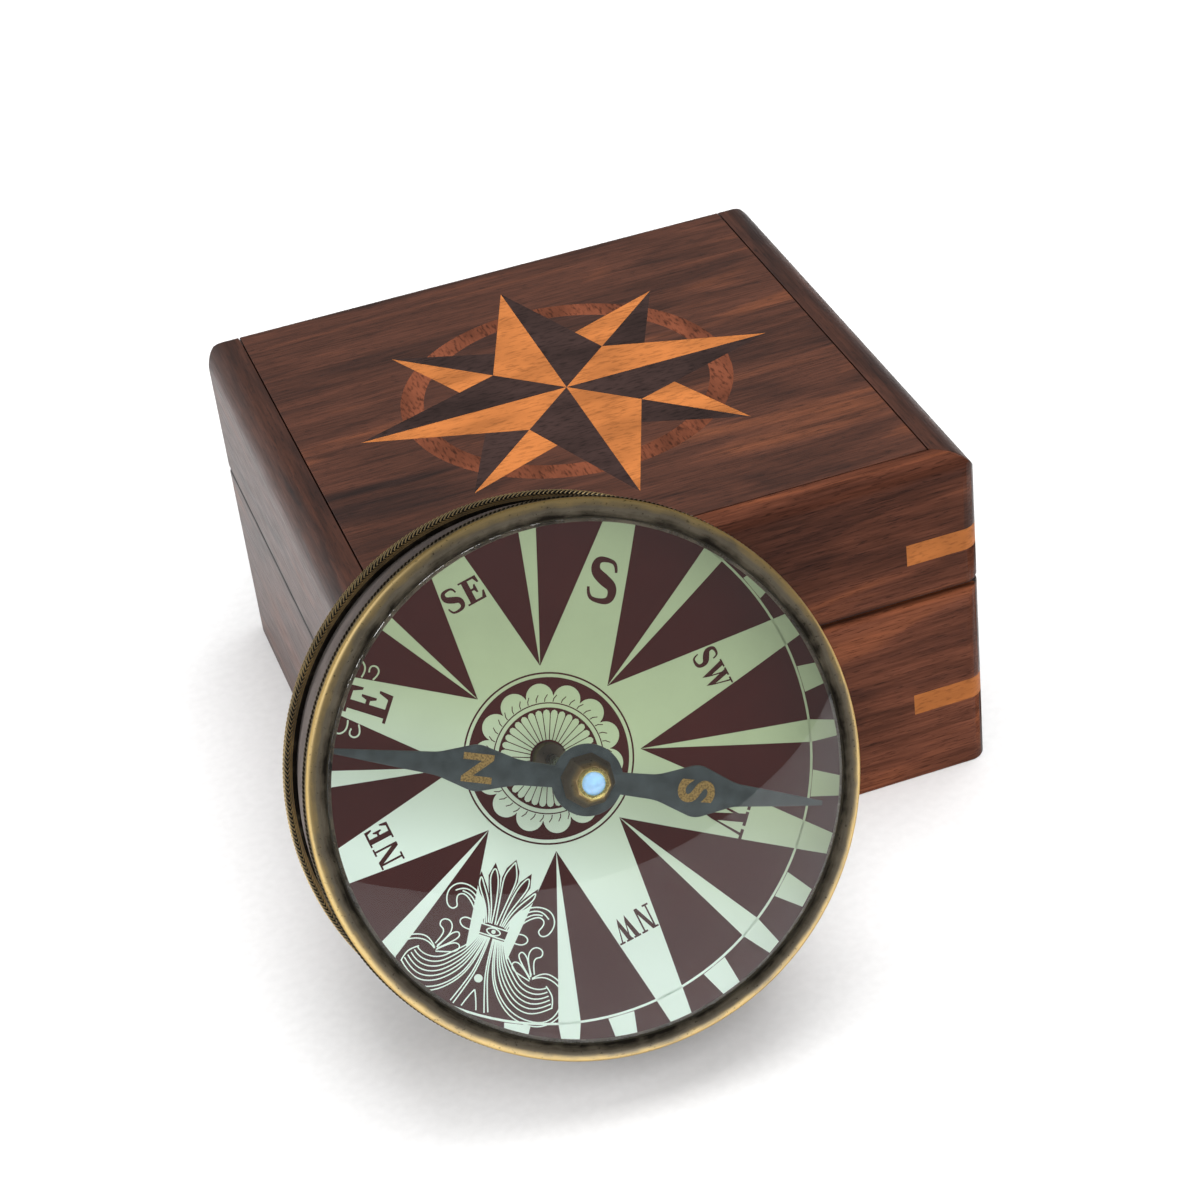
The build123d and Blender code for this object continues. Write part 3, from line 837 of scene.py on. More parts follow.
def turn_bezel(look):
    """Turns the bezel: a milled bead, a smooth wall, and a rounded crown that falls to the glass."""
    bore, _, _, barrel_top = reach("compass_barrel")
    lip_inner, outer, low, top = reach("compass_bezel")
    lens_radius, lens_low = reach("compass_lens")[1:3]
    wall = outer - 0.3
    lip = lens_radius + 0.15
    beads = [(outer - 0.5, barrel_top + 0.5, 0.5)]
    # Points of the crown, in mm inwards from the wall and down from the top.
    crown = [
        (0.0, 1.25), (0.06, 0.9), (0.2, 0.56), (0.42, 0.3), (0.72, 0.11), (1.05, 0.02),
        (1.35, 0.0), (1.75, 0.04),
    ]
    profile = [(bore - SPIGOT_PLAY, low), (bore - SPIGOT_PLAY, barrel_top)]
    profile += [*arc(beads[0], -90, 60), (wall, barrel_top + 1.1)]
    profile += [(wall - inwards, top - down) for inwards, down in crown]
    profile += [
        (lip + 0.15, top - 0.16), (lip, top - 0.4), (lip, lens_low), (lip_inner, lens_low),
        (lip_inner, low),
    ]
    # Brighter round the outer shoulder: rubbed brass and a painted highlight. Darker round the lip by
    # the glass: painted shade.
    wear_and_painted_light = [(wall - 0.1, top - 0.6, 1.7, 0.6), (lip, top, 1.6, -0.4)]
    brass = aged_brass("aged_brass_bezel", look, beads, wear_and_painted_light, 0.42, 1.1, 0.0)
    sheet = milled(profile, beads, look)
    show_brass("compass_bezel_milled", sheet, brass, "compass_bezel")


class COMPASSBOX_OT_case(bpy.types.Operator):
    """Turns the compass's brass foot ring, barrel and bezel, with their milled edges"""

    bl_idname = "compassbox.case"
    bl_label = "Compass Case"

    def execute(self, context):
        look = context.scene.compass_case_look
        turn_foot(look)
        turn_barrel(look)
        turn_bezel(look)
        coat("compass_back_plate", aged_brass("aged_brass_back", look, dull=0.4))
        return {"FINISHED"}


def clear_glass(name):
    """Optical glass, ground and polished: clear, with sharp reflections and a dust of fine marks."""
    material, tree, shader = new_material(
        name, Transmission_Weight=1.0, IOR=1.5, Base_Color=(1, 1, 1, 1)
    )
    place = case_millimetres(tree)[0]
    marks = add(tree, "TexNoise", {"Vector": place, "Scale": 1.5, "Detail": 3.0})
    roughness = add(tree, "MapRange", {0: marks, 1: 0.5, 2: 0.8, 3: 0.0, 4: 0.003})
    wire(shader, Roughness=roughness)
    return material


def moulded_rubber(name):
    """Black rubber, moulded: dark and dull with a fine uneven skin."""
    material, tree, shader = new_material(name, Roughness=0.6)
    place = case_millimetres(tree)[0]
    skin = add(tree, "TexNoise", {"Vector": place, "Scale": 4.0, "Detail": 3.0})
    tone = add(
        tree, "ValToRGB", {0: skin},
        [(0.3, solid(linear("#15120c"))), (0.7, solid(linear("#2c2717")))],
    )
    bump = add(tree, "Bump", {"Height": skin, "Strength": 0.3, "Distance": 0.03 * MM})
    wire(shader, Base_Color=tone, Normal=bump)
    return material


class COMPASSBOX_OT_glass(bpy.types.Operator):
    """Grinds the domed glass and lays its gasket"""

    bl_idname = "compassbox.glass"
    bl_label = "Domed Glass"

    def execute(self, context):
        radius, low, apex = reach("compass_lens")[1:4]
        edge = low + 0.5
        rise = apex - edge
        dome = (radius**2 + rise**2) / (2 * rise)
        widest = math.asin(radius / dome)
        rings = 56
        tilts = [widest * (rings - i) / rings for i in range(rings + 1)]
        profile = [(0, low), (radius, low)]
        profile += [(dome * math.sin(tilt), apex - dome * (1 - math.cos(tilt))) for tilt in tilts]
        sheet = in_case(spun(profile, 160, closed=False))
        glass = clear_glass("ground_clear_glass")
        lens = show("compass_glass", sheet, "compass", glass, ["compass_lens"])
        lens.visible_shadow = False
        lens.visible_diffuse = False
        lens.visible_glossy = False
        inner, outer, bottom, top = reach("lens_gasket")
        seal = [(inner, bottom), (outer, bottom), (outer, top - 0.05), (inner + 0.1, top)]
        sheet = in_case(spun(seal, 160))
        rubber = moulded_rubber("moulded_black_rubber")
        show("lens_gasket_ring", sheet, "compass", rubber, ["lens_gasket"])
        return {"FINISHED"}


# Dial


def printed(name, colour, fleck, painted_light=None):
    """Ink printed on card and varnished: even colour with a faint mottle and a soft gloss, and where
    given, painted light: the colour turns paler towards the card's lower edge."""
    material, tree, shader = new_material(name, Specular_IOR_Level=0.15)
    place = case_millimetres(tree)[0]
    clouds = add(tree, "TexNoise", {"Vector": place, "Scale": 0.18, "Detail": 4.0})
    specks = add(tree, "TexNoise", {"Vector": place, "Scale": 5.0, "Detail": 3.0})
    mixed = add(tree, "Mix", {0: 0.35, 2: clouds, 3: specks})
    tone = add(
        tree, "ValToRGB", {0: mixed},
        [(0.3, solid(colour, 1 - fleck)), (0.65, solid(colour, 1 + fleck / 2))],
    )
    # Painted light: paler towards the card's lower edge, where more light falls through the glass.
    if painted_light is not None:
        lower = add(
            tree, "VectorMath", {0: place, 1: (0.6, 0.9, 0)}, operation="DOT_PRODUCT"
        ).outputs["Value"]
        share = add(
            tree, "MapRange", {0: lower, 1: 8.0, 2: -22.0}, interpolation_type="SMOOTHSTEP"
        )
        tone = add(
            tree, "Mix", {0: share, 6: tone, 7: solid(painted_light)}, data_type="RGBA"
        ).outputs[2]
    roughness = add(tree, "MapRange", {0: specks, 1: 0.3, 2: 0.7, 3: 0.5, 4: 0.54})
    wire(shader, Base_Color=tone, Roughness=roughness)
    return material


# Strokes of the serif letters, as flat outlines in a box one unit high.
LETTER_E = [
    [(0.12, 0), (0.36, 0), (0.36, 1), (0.12, 1)],
    [(0.0, 0.93), (0.12, 0.93), (0.12, 1), (0.0, 1)],
    [(0.0, 0), (0.12, 0), (0.12, 0.07), (0.0, 0.07)],
    [(0.36, 0.91), (0.60, 0.91), (0.69, 0.70), (0.76, 0.70), (0.74, 1), (0.36, 1)],
    [(0.36, 0.47), (0.46, 0.47), (0.52, 0.34), (0.58, 0.34), (0.58, 0.69), (0.52, 0.69),
     (0.46, 0.56), (0.36, 0.56)],
    [(0.36, 0), (0.76, 0), (0.80, 0.32), (0.73, 0.32), (0.62, 0.09), (0.36, 0.09)],
]
LETTER_N = [
    [(0.15, 0), (0.24, 0), (0.24, 1), (0.15, 1)],
    [(0.02, 0), (0.38, 0), (0.38, 0.07), (0.02, 0.07)],
    [(0.0, 0.93), (0.15, 0.93), (0.15, 1), (0.0, 1)],
    [(0.15, 1), (0.70, 0), (0.88, 0), (0.88, 0.08), (0.36, 1)],
    [(0.79, 0.08), (0.88, 0.08), (0.88, 1), (0.79, 1)],
    [(0.66, 0.93), (1.0, 0.93), (1.0, 1), (0.66, 1)],
]
LETTER_W = [
    [(0.0, 0.93), (0.40, 0.93), (0.40, 1), (0.0, 1)],
    [(0.06, 0.93), (0.31, 0.93), (0.50, 0.28), (0.38, 0)],
    [(0.38, 0), (0.48, 0.22), (0.70, 1), (0.62, 1)],
    [(0.46, 0.93), (0.86, 0.93), (0.86, 1), (0.46, 1)],
    [(0.52, 0.93), (0.77, 0.93), (0.94, 0.28), (0.82, 0)],
    [(0.82, 0), (0.92, 0.22), (1.17, 1), (1.09, 1)],
    [(0.96, 0.93), (1.28, 0.93), (1.28, 1), (0.96, 1)],
]
# Points of the S along its middle, with half of the pen's width at each.
LETTER_S = [
    (0.60, 0.74, 0.03), (0.56, 0.93, 0.04), (0.36, 0.98, 0.05), (0.10, 0.93, 0.08),
    (0.10, 0.66, 0.11), (0.36, 0.52, 0.14), (0.64, 0.40, 0.11), (0.64, 0.08, 0.08),
    (0.33, 0.02, 0.05), (0.12, 0.07, 0.04), (0.07, 0.28, 0.03),
]
LETTERS = {"E": (LETTER_E, 0.80), "N": (LETTER_N, 1.0), "S": (LETTER_S, 0.70), "W": (LETTER_W, 1.28)}

# Letters on the rays clockwise from north, with their height, width and radius in mm.
RAY_LETTERS = (
    ("NE", 3.0, 4.9, 21.3), ("E", 5.3, 3.5, 21.9), ("SE", 3.0, 4.9, 21.3), ("S", 5.3, 3.5, 21.3),
    ("SW", 3.0, 4.9, 21.3), ("W", 5.3, 5.2, 21.3), ("NW", 3.0, 4.9, 21.3),
)
BROAD_RAYS = 8
PETALS = 14
HUB = 10.5

# Thickness in mm of a layer of ink, and how much overlapping forms of one layer differ in height.
INK = 0.02
LIFT = 0.003


def drawn(curve):
    """A bmesh of a curve or a text, which is removed."""
    holder = bpy.data.objects.new(curve.name, curve)
    mesh = bpy.data.meshes.new_from_object(holder)
    sheet = bmesh.new()
    sheet.from_mesh(mesh)
    bpy.data.objects.remove(holder)
    bpy.data.curves.remove(curve)
    bpy.data.meshes.remove(mesh)
    return sheet


def inked(lines, level):
    """Flat raised lines from splines of (x, y, half width) points in mm, at a height."""
    curve = bpy.data.curves.new("inked_lines", "CURVE")
    curve.dimensions = "3D"
    curve.resolution_u = 5
    curve.bevel_depth = 1.0
    curve.bevel_resolution = 0
    curve.use_fill_caps = True
    for line in lines:
        spline = curve.splines.new("NURBS")
        spline.points.add(len(line) - 1)
        for point, (x, y, half) in zip(spline.points, line):
            point.co = (x, y, 0, 1)
            point.radius = half
        spline.order_u = 3
        spline.use_endpoint_u = True
    sheet = drawn(curve)
    bmesh.ops.scale(sheet, vec=(1, 1, 0.06), verts=sheet.verts)
    bmesh.ops.translate(sheet, vec=(0, 0, level), verts=sheet.verts)
    return sheet


def merge_into(sheet, other):
    """Adds one bmesh to another."""
    mesh = bpy.data.meshes.new("passing")
    other.to_mesh(mesh)
    other.free()
    sheet.from_mesh(mesh)
    bpy.data.meshes.remove(mesh)


def lettering(words, size, width, radius, angle, level):
    """Serif capitals across a ray of the dial, tops outwards."""
    sheet = bmesh.new()
    across = 0.0
    gap = 0.10
    for letter in words:
        strokes, wide = LETTERS[letter]
        if letter == "S":
            moved = [(x + across, y, half) for x, y, half in strokes]
            merge_into(sheet, inked([moved], 0.0))
        else:
            for stroke in strokes:
                plate(sheet, [(x + across, y) for x, y in stroke], 0.0, INK)
        across += wide + gap
    across -= gap
    fit = Matrix.Translation((-across / 2, -0.5, 0))
    stretch = Matrix.Diagonal((width / across, size, 1, 1))
    out = Matrix.Rotation(-angle, 4, "Z") @ Matrix.Translation((0, radius, level))
    bmesh.ops.transform(sheet, matrix=out @ stretch @ fit, verts=sheet.verts)
    return sheet


def even(points):
    """An outline of (half width, radius) points and their mirror images across a ray."""
    return [(-half, out) for half, out in points] + [
        (half, out) for half, out in reversed(points) if half
    ]


def print_rays(light, levels):
    """Prints the broad rays, the north one's root, the narrow rays and the blocks at the rim."""
    low, high = levels[:2]
    rim = 34.8
    root = (4.02, 9.7)
    broad = even([root, (1.85, 28.9), (1.25, rim)])
    for i in range(1, BROAD_RAYS):
        repeated(light, plate(light, broad, low, high), 1, i * TURN / BROAD_RAYS)
    plate(light, even([root, (2.5, 23.2)]), low, high)
    narrow = even([(0, HUB), (1.3, 30.7), (0.85, rim)])
    repeated(light, plate(light, narrow, low, high), BROAD_RAYS, TURN / BROAD_RAYS / 2)
    block = even([(1.55, 30.9), (1.15, rim)])
    repeated(light, plate(light, block, low, high), 2 * BROAD_RAYS, TURN / BROAD_RAYS / 4)
    band(light, 30.55, 30.85, low, high, 128)


def print_rosette(light, dark, levels):
    """Prints the middle of the dial: a disc and rings, petals with ticks between them, and flutes."""
    disc(light, HUB, levels[0], levels[1] + LIFT)
    band(dark, 9.58, 9.78, levels[1] + LIFT, levels[2])
    disc(dark, 9.2, levels[1] + LIFT, levels[2])
    disc(light, 7.1, levels[2], levels[3] + 2 * LIFT)
    for i in range(2):
        petal = disc(light, 1.56, levels[2], levels[2] + INK + LIFT * i, 28)
        bmesh.ops.translate(light, verts=petal, vec=(0, 6.97, 0))
        repeated(light, petal, PETALS // 2, i * TURN / PETALS)
    low, high = levels[3] + 2 * LIFT, levels[4]
    tick = [(-0.05, 6.4), (0.02, 6.8), (0.36, 7.25), (0.44, 7.2), (0.12, 6.75), (0.05, 6.4)]
    repeated(dark, plate(dark, tick, low, high), PETALS * 3, TURN / PETALS / 6)
    band(dark, 6.2, 6.33, low, high)
    disc(dark, 5.75, low, high)
    flute = even([(0.13, 2.1), (0.39, 5.05), (0.29, 5.38), (0, 5.52)])
    repeated(light, plate(light, flute, levels[4], levels[5]), 36)


def print_ornaments(light, dark, levels):
    """Prints the ornament at north and the curls beside the east letter."""
    leaves, lines = north_ornament()
    for i, leaf in enumerate(leaves):
        plate(dark, leaf, levels[1], levels[2] + 0.002 * i)
    merge_into(light, inked(lines, levels[3]))
    for radius, place in ((0.5, 26.4), (0.25, 20.65)):
        dot = disc(light, radius, levels[2], levels[3] + 0.01, 24)
        bmesh.ops.translate(light, verts=dot, vec=(0, place, 0))
    curls = inked(east_curls(), levels[1])
    clockwise(curls, curls.verts, TURN / 4)
    merge_into(light, curls)


class COMPASSBOX_OT_dial(bpy.types.Operator):
    """Prints the dial's rays, rosette, letters and north ornament on its card"""

    bl_idname = "compassbox.dial"
    bl_label = "Dial"

    def execute(self, context):
        look = context.scene.compass_dial_look
        cream = printed("printed_cream_ink", look.cream, 0.05, look.painted_light_cream)
        maroon = printed("printed_maroon_ink", look.maroon, 0.12)
        top = reach("dial_card")[3]
        levels = [top + INK * i for i in range(6)]
        light = bmesh.new()
        dark = bmesh.new()
        print_rays(light, levels)
        print_rosette(light, dark, levels)
        for i, (words, size, width, radius) in enumerate(RAY_LETTERS, 1):
            angle = i * TURN / BROAD_RAYS
            merge_into(dark, lettering(words, size, width, radius, angle, levels[1]))
        print_ornaments(light, dark, levels)
        for name, sheet, ink in (
            ("dial_cream_print", light, cream), ("dial_maroon_print", dark, maroon),
        ):
            bmesh.ops.recalc_face_normals(sheet, faces=sheet.faces)
            clockwise(sheet, sheet.verts, look.north_heading)
            show(name, in_case(sheet), "compass", ink)
        metal = aged_brass("turned_dial_brass", context.scene.compass_case_look, dull=0.3)
        for node, finish in (
            ("dial_card", maroon), ("dial_plate", metal), ("dial_snap_ring", metal),
        ):
            coat(node, finish)
        return {"FINISHED"}


def both_sides(shapes):
    """Flat shapes with their mirror images on the other side of the ray."""
    return shapes + [[(-point[0], *point[1:]) for point in reversed(shape)] for shape in shapes]


def north_ornament():
    """A traditional palmette tied over two scrolls: dark leaves, and pale (x, y, pen) lines."""
    pen = 0.08
    leaves = both_sides([
        [(0.5, 18.4), (0.75, 16.0), (1.2, 14.3), (2.15, 13.0), (2.5, 14.6), (2.1, 15.9), (1.0, 18.6)],
        [(0.8, 18.8), (1.7, 16.8), (2.4, 15.7), (3.4, 14.4), (3.5, 15.7), (3.0, 16.6), (1.2, 19.2)],
    ])
    stem = [
        (0, 12.0), (0.75, 13.2), (0.95, 14.4), (0.7, 16.0), (0.6, 18.4), (1.3, 18.2), (1.6, 20.0),
        (1.5, 21.4), (1.9, 22.6), (2.5, 23.4),
    ]
    leaves.append(stem + [(-x, y) for x, y in reversed(stem[1:])])
    half = [
        [(0.1, 19.8), (0.35, 17.6), (0.55, 16.0), (0.75, 14.4), (0.5, 13.3), (0, 12.3)],
        [(0.5, 19.8), (0.6, 18.2), (0.95, 16.0), (1.35, 14.5), (2.05, 13.4), (2.3, 14.6),
         (1.9, 15.8), (0.9, 18.4), (0.7, 19.8)],
        [(0.9, 19.8), (1.1, 18.6), (1.9, 16.9), (2.6, 15.9), (3.3, 14.8), (3.3, 15.7),
         (2.9, 16.4), (1.5, 18.4), (1.1, 19.9)],
        [(1.3, 20.1), (1.5, 18.9), (2.4, 17.2), (4.0, 16.3), (5.6, 16.4), (6.5, 17.6),
         (6.2, 19.1), (5.4, 19.6), (4.8, 19.1), (5.2, 18.4), (5.2, 17.7), (4.4, 17.4),
         (3.2, 18.3), (2.4, 19.6), (2.2, 20.3)],
        [(1.5, 20.1), (1.9, 18.9), (2.8, 17.5), (4.0, 16.8), (5.0, 16.9), (5.6, 17.4)],
        [(1.8, 20.2), (2.2, 19.1), (3.0, 18.0), (4.0, 17.2), (4.8, 17.2)],
        [(0.0, 20.1), (1.4, 20.1), (2.4, 20.1), (3.6, 19.9), (4.2, 20.5), (3.6, 21.2),
         (2.4, 21.2), (1.4, 21.2), (0.0, 21.2)],
        [(0.0, 20.2), (0.5, 20.3), (0.9, 20.65), (0.5, 21.0), (0.0, 21.1)],
        [(5.7, 24.9), (4.6, 24.6), (3.4, 24.2), (3.1, 23.4), (3.8, 23.1), (5.0, 24.0), (5.7, 24.7)],
        [(5.6, 24.5), (4.4, 23.4), (3.5, 22.4), (3.8, 21.8), (4.5, 22.2), (5.1, 23.2), (5.7, 24.4)],
        [(5.7, 24.2), (4.8, 22.8), (4.6, 21.5), (5.2, 20.8), (6.1, 21.0), (6.2, 21.8),
         (5.5, 22.1), (5.5, 22.9), (6.0, 24.0)],
        [(0.2, 21.4), (0.4, 25.0), (1.2, 28.0), (1.9, 30.2)],
        [(0.35, 21.4), (0.6, 24.8), (1.5, 27.8), (2.3, 30.0)],
        [(0.0, 27.8), (0.5, 28.8), (0.9, 30.2)],
    ]
    for i in range(2):
        half.append([
            (0.5 + 0.15 * i, 21.4), (0.9 + 0.2 * i, 24.2), (2.2 + 0.2 * i, 27.4 - 0.2 * i),
            (5.0 + 0.1 * i, 30.0 - 0.5 * i), (8.6, 30.2 - 0.6 * i),
            (10.6 - 0.5 * i, 28.0 - 0.1 * i), (10.4 - 0.5 * i, 25.0 + 0.1 * i),
            (8.6 - 0.1 * i, 23.6 + 0.5 * i), (6.8, 23.4 + 0.5 * i), (5.9, 24.5 + 0.1 * i),
        ])
    for i in range(6):
        half.append([
            (0.8 + 0.16 * i, 21.4), (1.3 + 0.2 * i, 23.6 - 0.15 * i),
            (2.6 + 0.16 * i, 26.4 - 0.5 * i), (5.0, 28.6 - 0.62 * i),
            (7.6 - 0.1 * i, 28.8 - 0.62 * i), (9.2 - 0.28 * i, 27.2 - 0.42 * i),
        ])
    half.append([(9.2, 27.3), (9.0, 26.2), (8.4, 25.4), (7.7, 24.9)])
    lines = [[(x, y, pen) for x, y in line] for line in both_sides(half)]
    return leaves, lines


def east_curls():
    """Two small curls beside the east letter, as (x, y, half width) lines."""
    curls = [
        [(2.7, 22.2), (3.6, 21.6), (4.4, 22.2), (4.1, 23.1), (3.4, 22.9)],
        [(2.6, 23.6), (3.5, 23.3), (4.5, 24.0), (4.3, 25.1), (3.4, 24.8)],
        [(2.5, 25.0), (3.4, 25.2), (4.2, 26.0), (3.7, 26.8), (3.0, 26.3)],
    ]
    return [[(x, y, 0.1) for x, y in line] for line in both_sides(curls)]


# Needle


def blued_steel(name, look):
    """Spring steel, rolled and blued: dark blue green with soft streaks along the blade."""
    material, tree, shader = new_material(name, Metallic=0.45)
    place = case_millimetres(tree)[0]
    clouds = add(tree, "TexNoise", {"Vector": place, "Scale": 0.5, "Detail": 4.0})
    fine = add(tree, "TexNoise", {"Vector": place, "Scale": 6.0, "Detail": 3.0})
    tone = add(
        tree, "ValToRGB", {0: clouds},
        [(0.3, solid(look.steel, 0.6)), (0.65, solid(look.steel, 1.15))],
    )
    roughness = add(tree, "MapRange", {0: fine, 1: 0.3, 2: 0.7, 3: 0.32, 4: 0.48})
    wire(shader, Base_Color=tone, Roughness=roughness)
    return material


def gilt_ink(name, look):
    """Gold ink, stamped: a grainy metallic yellow, thin in places."""
    material, tree, shader = new_material(name, Metallic=0.7)
    place = case_millimetres(tree)[0]
    grains = add(tree, "TexNoise", {"Vector": place, "Scale": 4.0, "Detail": 3.0})
    tone = add(
        tree, "ValToRGB", {0: grains},
        [(0.35, solid(look.gold, 0.45)), (0.6, solid(look.gold, 1.1))],
    )
    roughness = add(tree, "MapRange", {0: grains, 1: 0.3, 2: 0.7, 3: 0.55, 4: 0.35})
    wire(shader, Base_Color=tone, Roughness=roughness)
    return material


def pale_jewel(name, look):
    """Synthetic stone, ground and polished: pale blue, glossy, with a faint cloud inside."""
    material, tree, shader = new_material(
        name, IOR=1.7, Subsurface_Weight=0.3, Subsurface_Scale=0.4 * MM
    )
    place = case_millimetres(tree)[0]
    clouds = add(tree, "TexNoise", {"Vector": place, "Scale": 0.9, "Detail": 2.0})
    tone = add(
        tree, "ValToRGB", {0: clouds},
        [(0.3, solid(look.jewel, 0.9)), (0.7, solid(look.jewel, 1.15))],
    )
    roughness = add(tree, "MapRange", {0: clouds, 1: 0.3, 2: 0.7, 3: 0.06, 4: 0.12})
    wire(shader, Base_Color=tone, Roughness=roughness)
    return material


def stamped_letter(letter, height, middle, heading, top):
    """A bold letter on the needle, its top towards the tip."""
    text = bpy.data.curves.new("stamped_letter", "FONT")
    text.body = letter
    text.size = 1.0
    text.offset = 0.035
    text.extrude = 0.5
    sheet = drawn(text)
    bmesh.ops.remove_doubles(sheet, verts=sheet.verts, dist=0.0005)
    widths = [vertex.co.x for vertex in sheet.verts]
    heights = [vertex.co.y for vertex in sheet.verts]
    low, high = min(heights), max(heights)
    centre = Matrix.Translation((-(min(widths) + max(widths)) / 2, -(low + high) / 2, 0))
    size = height / (high - low)
    stretch = Matrix.Diagonal((size, size, 0.03, 1))
    out = Matrix.Rotation(heading, 4, "Z") @ Matrix.Translation((0, middle, top + 0.01))
    bmesh.ops.transform(sheet, matrix=out @ stretch @ centre, verts=sheet.verts)
    return sheet


class COMPASSBOX_OT_needle(bpy.types.Operator):
    """Finishes the needle, its letters, its cap and jewel, and the pivot under it"""

    bl_idname = "compassbox.needle"
    bl_label = "Needle"

    def execute(self, context):
        look = context.scene.compass_needle_look
        case_look = context.scene.compass_case_look
        steel = blued_steel("blued_spring_steel", look)
        blade = sanded("needle_blade")
        show("needle_blade_blued", blade, "needle", steel, ["needle_blade"])
        top = reach("needle_blade")[3]
        letters = bmesh.new()
        for letter, size, turn in (("N", 4.0, 0.0), ("S", 5.0, math.pi)):
            stamp = stamped_letter(letter, size, 14.3, look.heading + turn, top)
            merge_into(letters, stamp)
        gilt = gilt_ink("stamped_gilt_ink", look)
        show("needle_letters", in_case(letters), "needle", gilt)
        # The cap's brass is brighter round its top: a painted highlight.
        bright = aged_brass(
            "turned_cap_brass", case_look, wear_and_painted_light=[(2.2, 23.2, 2.0, 0.5)], dull=0.45, tone=1.4
        )
        cap = sanded("needle_cap", 0.12 * MM)
        show("needle_cap_faceted", cap, "needle", bright, ["needle_cap"], sharp=20)
        ring = polished_metal("polished_jewel_ring", linear("#f2e08e"), 0.24, 0.4)
        collar = sanded("jewel_ring")
        show("jewel_ring_polished", collar, "needle", ring, ["jewel_ring"])
        stone = pale_jewel("polished_pale_stone", look)
        gem = merged("needle_jewel")
        show("needle_jewel_polished", gem, "needle", stone, ["needle_jewel"])
        pin = polished_metal("ground_pivot_steel", linear("#8f9092"), 0.25)
        foot = aged_brass("turned_pivot_brass", case_look, dull=0.3)
        coat("pivot_pin", pin)
        coat("pivot_base", foot)
        return {"FINISHED"}


# Stage


def matt_white(name):
    """White paper sweep, matt: even and pale with the faintest tooth."""
    material, tree, shader = new_material(name, Roughness=0.9, Specular_IOR_Level=0.2)
    place = add(tree, "TexCoord").outputs["Object"]
    tooth = add(tree, "TexNoise", {"Vector": place, "Scale": 1 / (1.5 * MM), "Detail": 2.0})
    tone = add(tree, "ValToRGB", {0: tooth}, [(0.3, grey(0.86)), (0.7, grey(0.9))])
    wire(shader, Base_Color=tone)
    return material


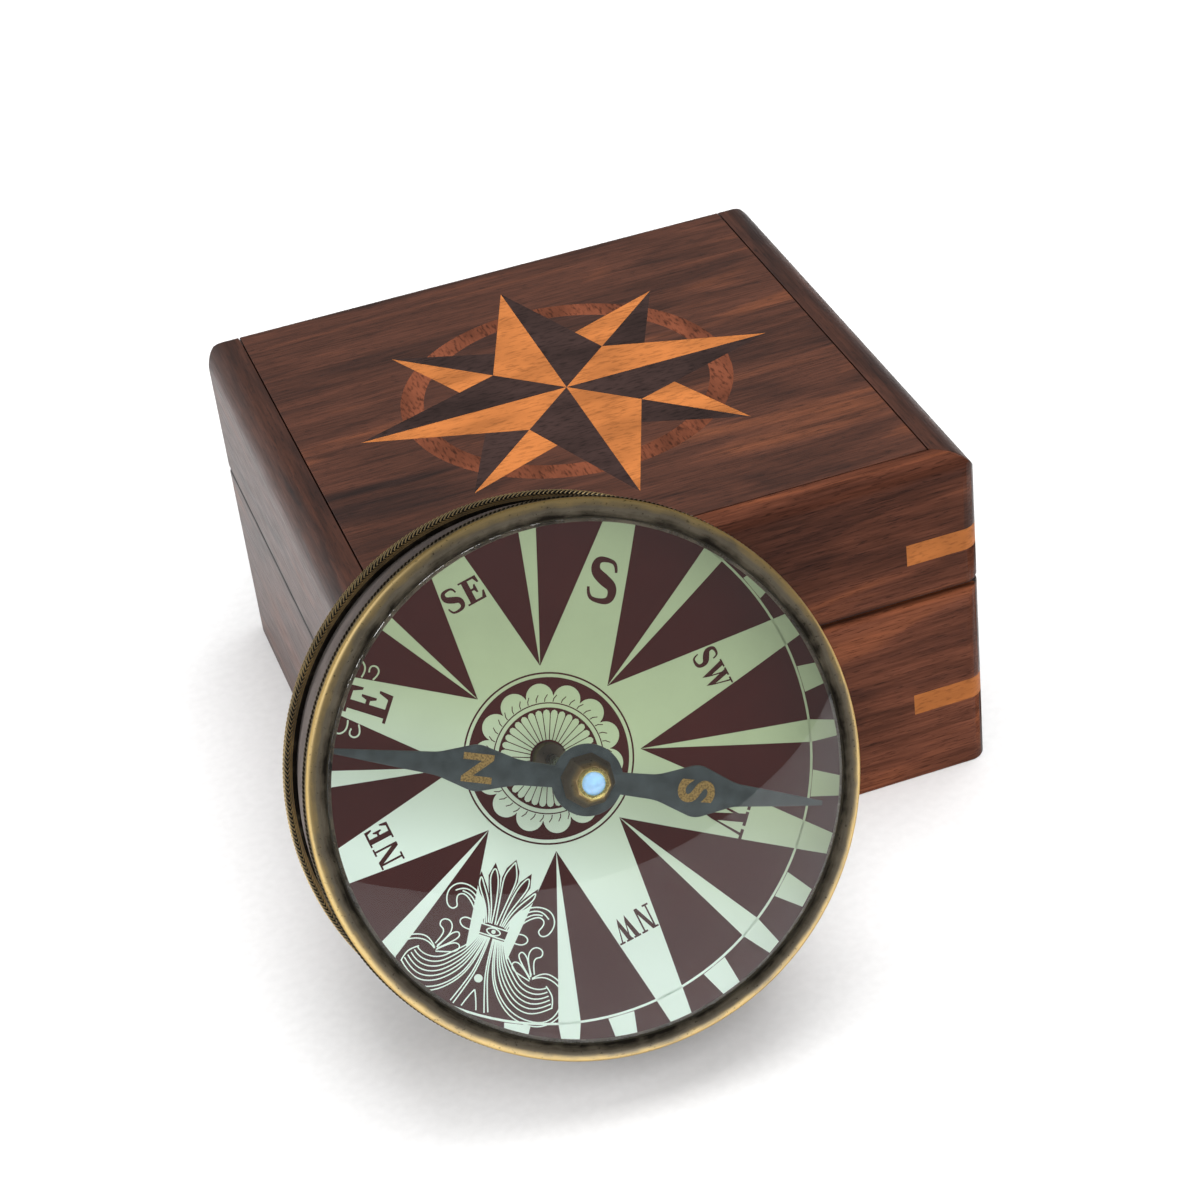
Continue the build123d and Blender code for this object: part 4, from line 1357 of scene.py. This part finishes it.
class COMPASSBOX_OT_stage(bpy.types.Operator):
    """Sets the camera, the white floor, the soft lights and the white surroundings"""

    bl_idname = "compassbox.stage"
    bl_label = "Stage"

    def execute(self, context):
        look = context.scene.compass_stage_look
        scene = context.scene
        scene.view_settings.view_transform = "Standard"
        rise, turn = look.elevation, look.azimuth
        back = Vector(
            (math.sin(turn) * math.cos(rise), -math.cos(turn) * math.cos(rise), math.sin(rise))
        )
        level = Vector((0, 0, 1)).cross(back).normalized()
        upright = back.cross(level)
        right = math.cos(look.roll) * level + math.sin(look.roll) * upright
        up = math.cos(look.roll) * upright - math.sin(look.roll) * level
        place = Matrix((right, up, back)).transposed().to_4x4()
        place.translation = Vector(look.target) + back * look.distance
        camera = bpy.data.objects.new("camera", bpy.data.cameras.new("camera"))
        camera.data.lens = look.lens
        camera.data.sensor_width = 36.0
        camera.data.clip_start = 0.01
        camera.matrix_world = place
        scene.collection.objects.link(camera)
        scene.camera = camera

        sheet = bmesh.new()
        bmesh.ops.create_grid(sheet, x_segments=4, y_segments=4, size=look.floor / 2)
        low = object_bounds()[0].z
        bmesh.ops.translate(sheet, verts=sheet.verts, vec=(0, 0, low - 0.02 * MM))
        mesh = bpy.data.meshes.new("floor")
        sheet.to_mesh(mesh)
        sheet.free()
        mesh.materials.append(matt_white("matt_white_paper"))
        floor = bpy.data.objects.new("floor", mesh)
        scene.collection.objects.link(floor)
        floor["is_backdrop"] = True

        # Each light has its place, its aim and its width in metres, and its power in watts.
        lights = (
            ("overhead_softbox", (0.2, 0.0, 1.3), (0, 0, 0.02), 1.1, 15.5),
            ("front_softbox", (0.2, -1.1, 1.0), (0, -0.05, 0.04), 0.9, 12.3),
            ("left_softbox", (-1.2, 0.0, 0.6), (0, 0, 0.03), 0.8, 8.0),
        )
        for name, spot, aim, width, power in lights:
            lamp = bpy.data.lights.new(name, "AREA")
            lamp.shape = "SQUARE"
            lamp.size = width
            lamp.energy = power * look.lamps
            holder = bpy.data.objects.new(name, lamp)
            towards = Vector(aim) - Vector(spot)
            holder.matrix_world = Matrix.Translation(spot) @ towards.to_track_quat(
                "-Z", "Y"
            ).to_matrix().to_4x4()
            holder.visible_glossy = False
            holder.visible_transmission = False
            scene.collection.objects.link(holder)

        # The window stands at the left, where the rims catch it and the glass hardly does.
        world = bpy.data.worlds.new("studio_surroundings")
        world.use_nodes = True
        tree = world.node_tree
        sky = tree.nodes["Background"]
        sky.inputs["Color"].default_value = grey(1.0)
        way = add(tree, "TexCoord").outputs["Generated"]
        window = add(tree, "VectorMath", {0: way, 1: (-0.76, 0.46, 0.46)}, operation="DOT_PRODUCT")
        glow = add(
            tree, "MapRange",
            {0: window.outputs["Value"], 1: 0.82, 2: 0.98, 3: look.room, 4: look.window},
        )
        seen = add(tree, "LightPath").outputs["Is Camera Ray"]
        strength = add(tree, "Mix", {0: seen, 2: glow, 3: 1.0})
        feed(sky.inputs["Strength"], strength)
        scene.world = world
        return {"FINISHED"}


class COMPASSBOX_PT_panel(bpy.types.Panel):
    bl_label = "Compass Box"
    bl_idname = "COMPASSBOX_PT_panel"
    bl_space_type = "VIEW_3D"
    bl_region_type = "UI"
    bl_category = "Compass Box"

    def draw(self, context):
        for operator in OPERATORS:
            self.layout.operator(operator.bl_idname)
        for group, settings in SETTINGS.items():
            column = self.layout.column()
            for name in settings.__annotations__:
                column.prop(getattr(context.scene, group), name)


OPERATORS = (
    COMPASSBOX_OT_stage,
    COMPASSBOX_OT_boards,
    COMPASSBOX_OT_inlay,
    COMPASSBOX_OT_lining,
    COMPASSBOX_OT_fittings,
    COMPASSBOX_OT_case,
    COMPASSBOX_OT_glass,
    COMPASSBOX_OT_dial,
    COMPASSBOX_OT_needle,
)
SETTINGS = {
    "compass_box_look": BoxLook,
    "compass_case_look": CaseLook,
    "compass_dial_look": DialLook,
    "compass_needle_look": NeedleLook,
    "compass_stage_look": StageLook,
}


def register():
    for group, settings in SETTINGS.items():
        bpy.utils.register_class(settings)
        setattr(bpy.types.Scene, group, bpy.props.PointerProperty(type=settings))
    for kind in (*OPERATORS, COMPASSBOX_PT_panel):
        bpy.utils.register_class(kind)


def unregister():
    for kind in reversed((*OPERATORS, COMPASSBOX_PT_panel)):
        bpy.utils.unregister_class(kind)
    for group, settings in SETTINGS.items():
        delattr(bpy.types.Scene, group)
        bpy.utils.unregister_class(settings)


def main():
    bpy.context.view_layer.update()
    register()
    bpy.ops.compassbox.stage()
    bpy.ops.compassbox.boards()
    bpy.ops.compassbox.inlay()
    bpy.ops.compassbox.lining()
    bpy.ops.compassbox.fittings()
    bpy.ops.compassbox.case()
    bpy.ops.compassbox.glass()
    bpy.ops.compassbox.dial()
    bpy.ops.compassbox.needle()


if __name__ == "__main__":
    main()
